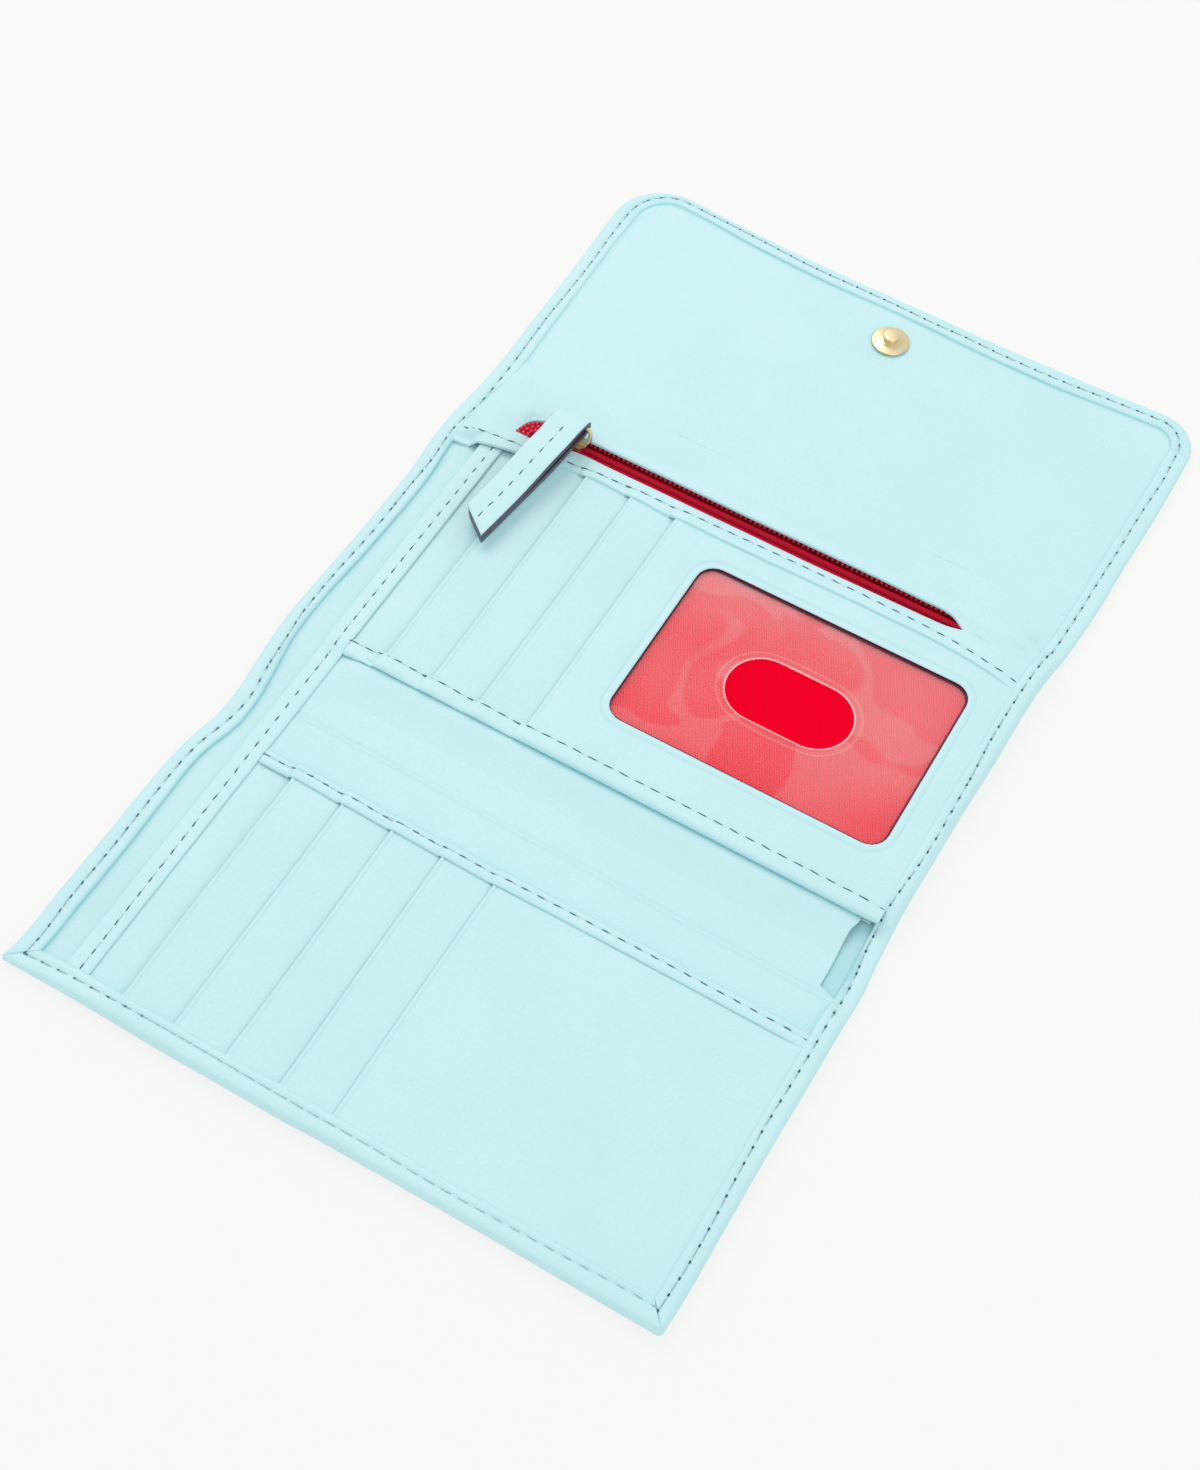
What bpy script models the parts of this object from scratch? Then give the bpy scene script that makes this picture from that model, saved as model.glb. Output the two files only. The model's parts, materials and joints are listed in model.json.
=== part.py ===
"""Flap wallet lying open, interior up.

A leather shell folds in four creases. The front panel carries a card organiser,
the back panel carries a second one with an identity window and a zip pocket, and
the flap snaps onto the outside of the front panel when the wallet is closed.

X runs along the creases, Y from the front edge to the flap's edge, Z is up.
The origin lies in the middle of the back panel's underside. Units are metres.
"""
import math

import bmesh
import bpy
from mathutils import Matrix, Vector

# Whole wallet
WALLET_WIDTH = 0.171
BACK_LENGTH = 0.0975
FRONT_SHORTFALL = 0.0081
SPINE_HEIGHT = 0.0191
FLAP_LENGTH = 0.0640
FLAP_SHIFT = 0.0029
FLAP_FLARE = 0.0019
FLAP_CORNER_RADIUS = 0.012

# Sheets, hems and the gaps between them
SHELL_THICKNESS = 0.0011
LINING_THICKNESS = 0.0003
LEATHER_THICKNESS = 0.0005
FLAP_LINING_THICKNESS = 0.0008
WINDOW_PANEL_THICKNESS = 0.0008
FABRIC_THICKNESS = 0.0002
BAG_THICKNESS = 0.0005
SEAT_GAP = 0.0003
CREASE_GAP = 0.0003
HEM_WIDTH = 0.0062
HEM_STEP_SETBACK = 0.0030
EDGE_ROUNDING = 0.0004
SHEET_ROUNDING = 0.00012
OVERRUN = 0.003
WELD_DISTANCE = 0.00001

# Strip that binds the organiser's left edge
STRIP_INSET = 0.0125
STRIP_WIDTH = 0.0061
STRIP_CREASE_SETBACK = 0.0012

# Card slots
SLOT_INSET = 0.0285
SLOT_OVERLAP = 0.005
FRONT_SLOT_COUNT = 4
FRONT_SLOT_PITCH = 0.0140
BACK_SLOT_COUNT = 3
BACK_SLOT_PITCH = 0.0134

# Bindings across the pockets' tops
FRONT_BINDING_SETBACK = 0.0114
FRONT_BINDING_WIDTH = 0.0045
LIP_SETBACK = 0.0020
LIP_WIDTH = 0.0046
BINDING_WALL = 0.0006
TAIL_LENGTH = 0.0070
SPINE_SHEET_INSET = 0.0082

# Zip pocket
ZIP_SETBACK = 0.0069
ZIP_BINDING_SETBACK = 0.0101
ZIP_BINDING_WIDTH = 0.0059
ZIP_BINDING_FLAT = 0.0012
ZIP_LEFT_INSET = 0.0200
ZIP_RIGHT_INSET = 0.0230
TAPE_INSET = 0.0080
UPPER_TAPE_REACH = 0.0044
TOOTH_PITCH = 0.0012
TOOTH_WIDTH = 0.0007
TOOTH_NOSE_WIDTH = 0.0003
TOOTH_ROOT = 0.0006
ROW_WIDTH = 0.0015
ROW_HEIGHT = 0.0010
ROW_GAP = 0.0009
ROW_SEAT = 0.0002
STOP_LENGTH = 0.0018
BAG_INSET = 0.0195
BAG_TAIL_SETBACK = 0.0079
FACING_SETBACK = 0.0007
FACING_SHOULDER = 0.0022
FACING_LEFT_INSET = 0.0065

# Slider, ring and pull
SLIDER_REST_INSET = 0.0119
SLIDER_LENGTH = 0.0105
SLIDER_TAIL_WIDTH = 0.0050
SLIDER_NOSE_WIDTH = 0.0056
SLIDER_PLATE = 0.0004
SLIDER_CLEARANCE = 0.0002
SLIDER_SLOT_CLEARANCE = 0.0003
POST_THICKNESS = 0.0005
LUG_THICKNESS = 0.0024
LUG_DEPTH = 0.0026
LUG_EYE_RADIUS = 0.00075
RING_WIDTH = 0.0130
RING_HEIGHT = 0.0042
RING_WIRE_RADIUS = 0.0006
RING_CORNER_RADIUS = 0.0014
RING_LEAN = math.radians(-20.0)
PULL_WIDTH = 0.0092
PULL_LENGTH = 0.0439
PULL_THICKNESS = 0.0040
PULL_EYE_RADIUS = 0.0008
PULL_WALL = 0.0016
PULL_NECK = 0.0060
PULL_SLANT_SHARE = 0.130
PULL_END_CUT = 0.0066
PULL_EDGE_ROUNDING = 0.0004

# Identity window
WINDOW_LEFT_MARGIN = 0.0137
WINDOW_RIGHT_MARGIN = 0.0064
WINDOW_TOP_MARGIN = 0.0086
WINDOW_BOTTOM_MARGIN = 0.0174
WINDOW_RADIUS = 0.0050
FILM_MARGIN = 0.0055
THUMB_HOLE_WIDTH_SHARE = 0.444
THUMB_HOLE_HEIGHT_SHARE = 0.355
THUMB_HOLE_ROUNDING_SHARE = 0.96

# Snap
STUD_SETBACK = 0.0150
STUD_FLANGE_RADIUS = 0.0053
STUD_FLANGE_HEIGHT = 0.0006
STUD_NECK_RADIUS = 0.0019
STUD_KNOB_RADIUS = 0.0025
STUD_KNOB_HEIGHT = 0.0022
SNAP_GAP = 0.0003
SOCKET_RADIUS = 0.0050
SOCKET_CLEARANCE = 0.0003
CAP_RADIUS = 0.0058
CAP_THICKNESS = 0.0006
CAP_POST_RADIUS = 0.0013
ROUND_STEPS = 32

# Heights of the layers, from the table up
Z_LINING = SHELL_THICKNESS + SEAT_GAP
Z_LINING_TOP = Z_LINING + LINING_THICKNESS
Z_SHEET = Z_LINING_TOP + SEAT_GAP
FOLD_HEIGHT = Z_SHEET + LEATHER_THICKNESS
Z_BASE = FOLD_HEIGHT + SEAT_GAP
Z_BASE_TOP = Z_BASE + LEATHER_THICKNESS
SLOT_RISE = LEATHER_THICKNESS + SEAT_GAP
Z_FRONT_SLOT = FOLD_HEIGHT + SEAT_GAP
Z_FRONT_POCKET = Z_FRONT_SLOT + SLOT_RISE
Z_FRONT_POCKET_TOP = Z_FRONT_POCKET + LEATHER_THICKNESS
Z_FRONT_BINDING = Z_FRONT_POCKET_TOP + 2 * SEAT_GAP
Z_BACK_SLOT = Z_BASE_TOP + SEAT_GAP
Z_FILM = Z_BACK_SLOT + FABRIC_THICKNESS + SEAT_GAP
Z_WINDOW_PANEL = Z_BACK_SLOT + LEATHER_THICKNESS + SEAT_GAP + FABRIC_THICKNESS
Z_WINDOW_PANEL_TOP = Z_WINDOW_PANEL + WINDOW_PANEL_THICKNESS
Z_LIP = Z_WINDOW_PANEL_TOP + SEAT_GAP
Z_LIP_TOP = Z_LIP + LEATHER_THICKNESS
Z_TAPE = Z_BASE_TOP + SEAT_GAP
Z_TAPE_TOP = Z_TAPE + FABRIC_THICKNESS
Z_ROW = Z_TAPE_TOP + ROW_SEAT
Z_ROW_TOP = Z_ROW + ROW_HEIGHT
Z_PLATE = Z_ROW_TOP + SLIDER_CLEARANCE
Z_PLATE_TOP = Z_PLATE + SLIDER_PLATE
Z_FACING = Z_PLATE_TOP + SEAT_GAP
Z_FACING_TOP = Z_FACING + LEATHER_THICKNESS
Z_NEAR_BAR = Z_PLATE_TOP + SEAT_GAP + RING_WIRE_RADIUS
Z_FLAP_LINING_TOP = Z_LINING + FLAP_LINING_THICKNESS
Z_FLANGE = Z_FLAP_LINING_TOP + SEAT_GAP
Z_FLANGE_TOP = Z_FLANGE + STUD_FLANGE_HEIGHT

# Places along Y
FRONT_LENGTH = BACK_LENGTH - FRONT_SHORTFALL
BRIDGE_HEIGHT = SPINE_HEIGHT + Z_FLANGE_TOP + SNAP_GAP
Y_SPINE_CREASE = -BACK_LENGTH / 2
Y_FRONT_CREASE = Y_SPINE_CREASE - SPINE_HEIGHT
Y_FRONT_EDGE = Y_FRONT_CREASE - FRONT_LENGTH
Y_FLAP_CREASE = BACK_LENGTH / 2
Y_FLAP_BEND = Y_FLAP_CREASE + BRIDGE_HEIGHT
Y_FLAP_EDGE = Y_FLAP_BEND + FLAP_LENGTH
HALF_CREASE = CREASE_GAP / 2
Y_FRONT_HEM = Y_FRONT_EDGE + HEM_WIDTH
Y_FRONT_BINDING_TOP = Y_FRONT_CREASE - FRONT_BINDING_SETBACK
Y_FRONT_BINDING = Y_FRONT_BINDING_TOP - FRONT_BINDING_WIDTH
Y_LIP = Y_SPINE_CREASE + LIP_SETBACK
Y_POCKET = Y_LIP + BINDING_WALL + SEAT_GAP
Y_ZIP = Y_FLAP_CREASE - ZIP_SETBACK
Y_ZIP_BINDING_TOP = Y_FLAP_CREASE - ZIP_BINDING_SETBACK
Y_ZIP_BINDING = Y_ZIP_BINDING_TOP - ZIP_BINDING_WIDTH
Y_POCKET_TOP = Y_ZIP_BINDING + ZIP_BINDING_FLAT - SEAT_GAP
Y_FACING = Y_ZIP + FACING_SETBACK
Y_NEAR_BAR = Y_FACING - SEAT_GAP - LUG_DEPTH / 2
Y_STUD = Y_FLAP_EDGE - STUD_SETBACK
Y_SOCKET = Y_FRONT_CREASE - (BACK_LENGTH - (Y_STUD - Y_FLAP_BEND))

# Places along X
X_LEFT = -WALLET_WIDTH / 2
X_RIGHT = WALLET_WIDTH / 2
X_LEFT_INNER = X_LEFT + HEM_WIDTH + SEAT_GAP
X_RIGHT_INNER = X_RIGHT - HEM_WIDTH - SEAT_GAP
X_STRIP = X_LEFT + STRIP_INSET
X_STRIP_INNER = X_STRIP + STRIP_WIDTH
X_SLOT = X_LEFT + SLOT_INSET
X_FRONT_POCKET = X_SLOT + FRONT_SLOT_COUNT * FRONT_SLOT_PITCH
X_WINDOW_PANEL = X_SLOT + BACK_SLOT_COUNT * BACK_SLOT_PITCH
X_ZIP_LEFT = X_LEFT + ZIP_LEFT_INSET
X_ZIP_RIGHT = X_RIGHT - ZIP_RIGHT_INSET
X_SLIDER = X_ZIP_LEFT + SLIDER_REST_INSET

# Colours, linear
MINT = (0.66, 0.88, 0.92)
MINT_DEEP = (0.58, 0.82, 0.86)
CRIMSON = (0.55, 0.005, 0.035)
CRIMSON_DARK = (0.30, 0.004, 0.020)
PLUM = (0.12, 0.09, 0.11)
GOLD = (0.83, 0.62, 0.33)
CLEAR = (0.95, 0.75, 0.77)

PIVOTS = {}


def clear_scene():
    for old in list(bpy.data.objects):
        bpy.data.objects.remove(old, do_unlink=True)


def new_collection(name):
    collection = bpy.data.collections.new(name)
    bpy.context.scene.collection.children.link(collection)
    return collection


def material(name, colour, roughness, metallic=0.0, alpha=1.0):
    """A Principled material, shared by every piece of its kind."""
    found = bpy.data.materials.get(name)
    if found:
        return found
    made = bpy.data.materials.new(name)
    made.use_nodes = True
    shader = made.node_tree.nodes["Principled BSDF"]
    shader.inputs["Base Color"].default_value = (*colour, 1.0)
    shader.inputs["Roughness"].default_value = roughness
    shader.inputs["Metallic"].default_value = metallic
    shader.inputs["Alpha"].default_value = alpha
    return made


def leather():
    return material("mint_leather", MINT, 0.5)


def leather_deep():
    return material("mint_leather_shade", MINT_DEEP, 0.55)


def red_fabric():
    return material("crimson_fabric", CRIMSON, 0.8)


def red_nylon():
    return material("crimson_nylon", CRIMSON_DARK, 0.4)


def clear_film():
    return material("clear_film", CLEAR, 0.1, 0.0, 0.35)


def painted_leather():
    return material("plum_edged_leather", PLUM, 0.5)


def gold():
    return material("pale_gold", GOLD, 0.25, 1.0)


def pivot(name, place, parent=None):
    """An empty on a joint's axis, which carries the pieces of one body."""
    empty = bpy.data.objects.new(name, None)
    PARTS.objects.link(empty)
    PIVOTS[name] = Vector(place)
    empty.location = place
    if parent:
        empty.parent = bpy.data.objects[parent]
        empty.matrix_parent_inverse = Matrix.Translation(-PIVOTS[parent])
    return empty


def carry(piece, pivot_name):
    """Parents a piece to its body's pivot without moving it."""
    piece.parent = bpy.data.objects[pivot_name]
    piece.matrix_parent_inverse = Matrix.Translation(-PIVOTS[pivot_name])


def link_mesh(name, mesh, collection=None):
    piece = bpy.data.objects.new(name, mesh)
    (collection or PARTS).objects.link(piece)
    return piece


def box(name, low, high, collection=None):
    """A box between two corners, with its origin at its own centre."""
    mesh = bpy.data.meshes.new(name)
    shape = bmesh.new()
    bmesh.ops.create_cube(shape, size=1.0)
    low = Vector(low)
    size = Vector(high) - low
    bmesh.ops.scale(shape, vec=size, verts=shape.verts)
    shape.to_mesh(mesh)
    shape.free()
    piece = link_mesh(name, mesh, collection)
    piece.location = low + size / 2
    return piece


def extruded(name, loops, depth, place, turn=(0.0, 0.0, 0.0), collection=None):
    """A flat outline, with any holes, filled and given a depth along its own Z."""
    curve = bpy.data.curves.new(name, "CURVE")
    curve.dimensions = "2D"
    curve.fill_mode = "BOTH"
    curve.extrude = depth / 2
    for loop in loops:
        spline = curve.splines.new("POLY")
        spline.points.add(len(loop) - 1)
        for point, (across, along) in zip(spline.points, loop):
            point.co = (across, along, 0.0, 1.0)
        spline.use_cyclic_u = True
    guide = bpy.data.objects.new(name + "_outline", curve)
    PARTS.objects.link(guide)
    guide.location = place
    guide.rotation_euler = turn
    return solid_from(guide, name, collection)


def solid_from(guide, name, collection=None):
    """Turns a curve object into a welded mesh object in the same place."""
    bpy.context.view_layer.update()
    graph = bpy.context.evaluated_depsgraph_get()
    mesh = bpy.data.meshes.new_from_object(guide.evaluated_get(graph))
    shape = bmesh.new()
    shape.from_mesh(mesh)
    bmesh.ops.remove_doubles(shape, verts=shape.verts, dist=WELD_DISTANCE)
    bmesh.ops.recalc_face_normals(shape, faces=shape.faces)
    shape.to_mesh(mesh)
    shape.free()
    piece = link_mesh(name, mesh, collection)
    piece.matrix_world = guide.matrix_world.copy()
    bpy.data.objects.remove(guide, do_unlink=True)
    return piece


def plate(name, outline, low, high, holes=(), collection=None):
    """A flat plate from its plan outline, between two heights."""
    place = (0.0, 0.0, (low + high) / 2)
    return extruded(name, [outline, *holes], high - low, place, collection=collection)


def run_along_x(name, section, x_from, x_to, holes=(), collection=None):
    """A bar whose section is drawn in Y and Z."""
    place = ((x_from + x_to) / 2, 0.0, 0.0)
    turn = (math.pi / 2, 0.0, math.pi / 2)
    return extruded(name, [section, *holes], x_to - x_from, place, turn, collection)


def run_along_y(name, section, y_from, y_to):
    """A bar whose section is drawn in X and Z."""
    place = (0.0, (y_from + y_to) / 2, 0.0)
    return extruded(name, [section], y_to - y_from, place, (math.pi / 2, 0.0, 0.0))


def turned(name, profile, place):
    """A round piece about Z, from a profile that runs down its outer side."""
    mesh = bpy.data.meshes.new(name)
    points = [(radius, 0.0, height) for radius, height in profile]
    edges = [(index, index + 1) for index in range(len(points) - 1)]
    mesh.from_pydata(points, edges, [])
    piece = link_mesh(name, mesh)
    piece.location = place
    screw = piece.modifiers.new("turn", "SCREW")
    screw.steps = ROUND_STEPS
    screw.render_steps = ROUND_STEPS
    screw.use_merge_vertices = True
    screw.merge_threshold = WELD_DISTANCE
    screw.use_normal_calculate = True
    return piece


def as_cutter(piece):
    """Moves a shape to the cutters, where it only shapes its neighbours."""
    for collection in list(piece.users_collection):
        collection.objects.unlink(piece)
    CUTTERS.objects.link(piece)
    piece.hide_render = True
    piece.display_type = "WIRE"
    return piece


def cut(piece, *shapes):
    for index, shape in enumerate(shapes):
        as_cutter(shape)
        step = piece.modifiers.new("cut_%d" % index, "BOOLEAN")
        step.operation = "DIFFERENCE"
        step.solver = "EXACT"
        step.object = shape
    return piece


def add_to(piece, *shapes):
    for index, shape in enumerate(shapes):
        as_cutter(shape)
        step = piece.modifiers.new("join_%d" % index, "BOOLEAN")
        step.operation = "UNION"
        step.solver = "EXACT"
        step.object = shape
    return piece


def soften(piece, width, segments=2):
    bevel = piece.modifiers.new("soft_edges", "BEVEL")
    bevel.width = width
    bevel.segments = segments
    bevel.limit_method = "ANGLE"
    bevel.angle_limit = math.radians(40.0)
    bevel.harden_normals = False
    return piece


def finish(piece, surface, body):
    piece.data.materials.clear()
    piece.data.materials.append(surface)
    carry(piece, body)
    return piece


def sheet(name, x_from, x_to, y_from, y_to, low, high, surface, body):
    """A rectangular sheet of leather or cloth with slightly eased edges."""
    piece = box(name, (x_from, y_from, low), (x_to, y_to, high))
    soften(piece, SHEET_ROUNDING, 1)
    return finish(piece, surface, body)


def arc(centre, radius, start, end, steps):
    """Points along an arc, angles in degrees."""
    points = []
    for index in range(steps + 1):
        angle = math.radians(start + (end - start) * index / steps)
        points.append((centre[0] + radius * math.cos(angle), centre[1] + radius * math.sin(angle)))
    return points


def rounded_rectangle(low, high, radius, steps=5):
    corners = (
        ((high[0] - radius, low[1] + radius), 270.0),
        ((high[0] - radius, high[1] - radius), 0.0),
        ((low[0] + radius, high[1] - radius), 90.0),
        ((low[0] + radius, low[1] + radius), 180.0),
    )
    points = []
    for centre, start in corners:
        points.extend(arc(centre, radius, start, start + 90.0, steps))
    return points


def oval(centre, width, height, steps):
    points = []
    for index in range(steps):
        angle = math.tau * index / steps
        points.append((centre[0] + width / 2 * math.cos(angle), centre[1] + height / 2 * math.sin(angle)))
    return points


def shell_panel(name, y_from, y_to, left_top, right_top, body, open_front=True, holes=()):
    """One panel of the shell with its turned hems, hollowed for the linings."""
    top = max(left_top, right_top)
    piece = box(name, (X_LEFT, y_from, 0.0), (X_RIGHT, y_to, top))
    hollow_front = y_from - OVERRUN if open_front else y_from + HEM_WIDTH
    shapes = [
        box(
            name + "_hollow",
            (X_LEFT + HEM_WIDTH, hollow_front, SHELL_THICKNESS),
            (X_RIGHT - HEM_WIDTH, y_to + OVERRUN, top + OVERRUN),
        )
    ]
    if top > left_top:
        shapes.append(
            box(
                name + "_left_hem",
                (X_LEFT - OVERRUN, hollow_front, left_top),
                (X_LEFT + HEM_WIDTH + OVERRUN, y_to + OVERRUN, top + OVERRUN),
            )
        )
        shapes.append(
            box(
                name + "_crease_end",
                (X_LEFT - OVERRUN, y_to - HEM_STEP_SETBACK, FOLD_HEIGHT),
                (X_RIGHT + OVERRUN, y_to + OVERRUN, top + OVERRUN),
            )
        )
    cut(piece, *shapes, *holes)
    soften(piece, EDGE_ROUNDING)
    return finish(piece, leather(), body)


def well(name, x_at, y_at, radius, low, high):
    """A round cutter between two heights."""
    return plate(name, oval((x_at, y_at), 2 * radius, 2 * radius, ROUND_STEPS), low, high)


def edge_strip(name, low, y_from, y_to, body):
    """The strip folded over the organiser's left edge: a top leaf and a wall."""
    top = low + LEATHER_THICKNESS + SEAT_GAP
    section = (
        (X_STRIP, low),
        (X_STRIP + BINDING_WALL, low),
        (X_STRIP + BINDING_WALL, top),
        (X_STRIP_INNER, top),
        (X_STRIP_INNER, top + LEATHER_THICKNESS),
        (X_STRIP, top + LEATHER_THICKNESS),
    )
    piece = run_along_y(name, section, y_from, y_to)
    soften(piece, SHEET_ROUNDING, 1)
    return finish(piece, leather(), body)


def card_slots(name, count, pitch, low, y_from, y_to, body):
    """Shingled slot sheets: each one's mouth lies over the last one's tail."""
    for index in range(count):
        mouth = X_SLOT + index * pitch
        tail = mouth + pitch + SLOT_OVERLAP
        tail_drop = SLOT_RISE * SLOT_OVERLAP / pitch
        section = (
            (mouth, low + SLOT_RISE + tail_drop),
            (mouth + pitch + SEAT_GAP, low),
            (tail, low),
            (tail, low + LEATHER_THICKNESS),
            (mouth + pitch + SEAT_GAP, low + LEATHER_THICKNESS),
            (mouth, low + SLOT_RISE + tail_drop + LEATHER_THICKNESS),
        )
        piece = run_along_y("%s_%d" % (name, index + 1), section, y_from, y_to)
        finish(piece, leather(), body)


def binding(name, wall_side, y_from, y_to, low, wall_low, x_from, x_to, body):
    """A bound pocket edge: a leaf over the sheets and a wall past their ends."""
    top = low + LEATHER_THICKNESS
    wall_inner = y_from + BINDING_WALL if wall_side < 0 else y_to - BINDING_WALL
    wall_outer = y_from if wall_side < 0 else y_to
    leaf_end = y_to if wall_side < 0 else y_from
    section = (
        (wall_outer, wall_low),
        (wall_outer, top),
        (leaf_end, top),
        (leaf_end, low),
        (wall_inner, low),
        (wall_inner, wall_low),
    )
    piece = run_along_x(name, section, x_from, x_to)
    soften(piece, SHEET_ROUNDING, 1)
    return finish(piece, leather(), body)


def front_panel():
    body = "front_pivot"
    y_inner = Y_FRONT_HEM + SEAT_GAP
    y_crease = Y_FRONT_CREASE - HALF_CREASE
    hem_top = Z_FRONT_POCKET_TOP + SEAT_GAP
    socket_hole = SOCKET_RADIUS + SEAT_GAP
    hole = well("socket_hole", FLAP_SHIFT, Y_SOCKET, socket_hole, -OVERRUN, Z_SHEET)
    shell_panel("front_cover", Y_FRONT_EDGE, y_crease, FOLD_HEIGHT, hem_top, body, False, [hole])
    lining = box("front_lining", (X_LEFT_INNER, y_inner, Z_LINING), (X_RIGHT_INNER, y_crease, Z_LINING_TOP))
    cut(lining, well("lining_hole", FLAP_SHIFT, Y_SOCKET, socket_hole, Z_LINING - OVERRUN, Z_SHEET))
    finish(lining, leather_deep(), body)
    base_left = X_STRIP + BINDING_WALL + SEAT_GAP
    sheet("front_base", base_left, X_RIGHT_INNER, y_inner, y_crease, Z_SHEET, FOLD_HEIGHT, leather(), body)
    strip_end = Y_FRONT_CREASE - STRIP_CREASE_SETBACK
    edge_strip("front_side_binding", Z_SHEET, y_inner, strip_end, body)
    slot_end = Y_FRONT_BINDING_TOP - BINDING_WALL - SEAT_GAP
    card_slots("front_slot", FRONT_SLOT_COUNT, FRONT_SLOT_PITCH, Z_FRONT_SLOT, y_inner, slot_end, body)
    sheet(
        "front_pocket_panel", X_FRONT_POCKET, X_RIGHT_INNER, y_inner, slot_end,
        Z_FRONT_POCKET, Z_FRONT_POCKET_TOP, leather(), body,
    )
    binding(
        "front_binding", 1, Y_FRONT_BINDING, Y_FRONT_BINDING_TOP, Z_FRONT_BINDING,
        Z_FRONT_SLOT, X_STRIP_INNER + SEAT_GAP, X_RIGHT_INNER, body,
    )


def snap_socket():
    """The spring socket let into the outside of the front panel."""
    bore = STUD_KNOB_RADIUS + SOCKET_CLEARANCE
    low = SEAT_GAP / 2
    high = Z_SHEET - SEAT_GAP
    lip = (SOCKET_RADIUS - bore) / 4
    profile = (
        (SOCKET_RADIUS - lip, high),
        (SOCKET_RADIUS, high - lip),
        (SOCKET_RADIUS, low + lip),
        (SOCKET_RADIUS - lip, low),
        (bore + lip, low),
        (bore, low + lip),
        (bore, high - lip),
        (bore + lip, high),
        (SOCKET_RADIUS - lip, high),
    )
    piece = turned("snap_socket", profile, (FLAP_SHIFT, Y_SOCKET, 0.0))
    return finish(piece, gold(), "front_pivot")


def spine_panel():
    body = "spine_pivot"
    y_from = Y_FRONT_CREASE + HALF_CREASE
    y_to = Y_SPINE_CREASE - HALF_CREASE
    shell_panel("spine_cover", y_from, y_to, FOLD_HEIGHT, FOLD_HEIGHT, body)
    sheet(
        "spine_lining", X_LEFT_INNER, X_RIGHT_INNER, y_from, y_to,
        Z_LINING, Z_LINING_TOP, leather_deep(), body,
    )
    sheet_left = X_STRIP + BINDING_WALL + SEAT_GAP
    sheet_right = X_RIGHT - SPINE_SHEET_INSET
    sheet("spine_sheet", sheet_left, sheet_right, y_from, y_to, Z_SHEET, FOLD_HEIGHT, leather(), body)
    strip_from = Y_FRONT_CREASE + STRIP_CREASE_SETBACK
    strip_to = Y_SPINE_CREASE - STRIP_CREASE_SETBACK
    edge_strip("spine_side_binding", Z_SHEET, strip_from, strip_to, body)


def back_panel():
    body = "back_pivot"
    y_from = Y_SPINE_CREASE + HALF_CREASE
    y_to = Y_FLAP_CREASE - HALF_CREASE
    hem_top = Z_WINDOW_PANEL_TOP + SEAT_GAP
    start = box(
        "back_cover_crease_start",
        (X_LEFT - OVERRUN, y_from - OVERRUN, FOLD_HEIGHT),
        (X_RIGHT + OVERRUN, y_from + HEM_STEP_SETBACK, hem_top + OVERRUN),
    )
    shell_panel("back_cover", y_from, y_to, FOLD_HEIGHT, hem_top, body, True, [start])
    sheet(
        "back_lining", X_LEFT_INNER, X_RIGHT_INNER, y_from, y_to,
        Z_LINING, Z_LINING_TOP, leather_deep(), body,
    )
    tail_left = X_STRIP + BINDING_WALL + SEAT_GAP
    sheet(
        "spine_sheet_tail", tail_left, X_RIGHT - SPINE_SHEET_INSET, y_from, y_from + TAIL_LENGTH,
        Z_SHEET, FOLD_HEIGHT, leather(), body,
    )
    base = box("middle_base", (tail_left, Y_LIP, Z_BASE), (X_RIGHT_INNER, y_to, Z_BASE_TOP))
    half_slot = SLIDER_NOSE_WIDTH / 2 + SLIDER_SLOT_CLEARANCE
    cut(base, box(
        "zip_slot",
        (X_ZIP_LEFT, Y_ZIP - half_slot, Z_BASE - OVERRUN),
        (X_ZIP_RIGHT, Y_ZIP + half_slot, Z_BASE_TOP + OVERRUN),
    ))
    finish(base, leather(), body)
    edge_strip("middle_side_binding", Z_BASE, Y_LIP, Y_ZIP_BINDING - SEAT_GAP, body)
    card_slots("middle_slot", BACK_SLOT_COUNT, BACK_SLOT_PITCH, Z_BACK_SLOT, Y_POCKET, Y_POCKET_TOP, body)
    binding(
        "lip_binding", -1, Y_LIP, Y_LIP + LIP_WIDTH, Z_LIP, Z_BACK_SLOT,
        X_STRIP_INNER + SEAT_GAP, X_RIGHT_INNER, body,
    )


def window_place():
    """Low and high corners of the identity window."""
    low = (X_WINDOW_PANEL + WINDOW_LEFT_MARGIN, Y_LIP + WINDOW_BOTTOM_MARGIN)
    high = (X_RIGHT_INNER - WINDOW_RIGHT_MARGIN, Y_ZIP_BINDING - WINDOW_TOP_MARGIN)
    return low, high


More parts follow.
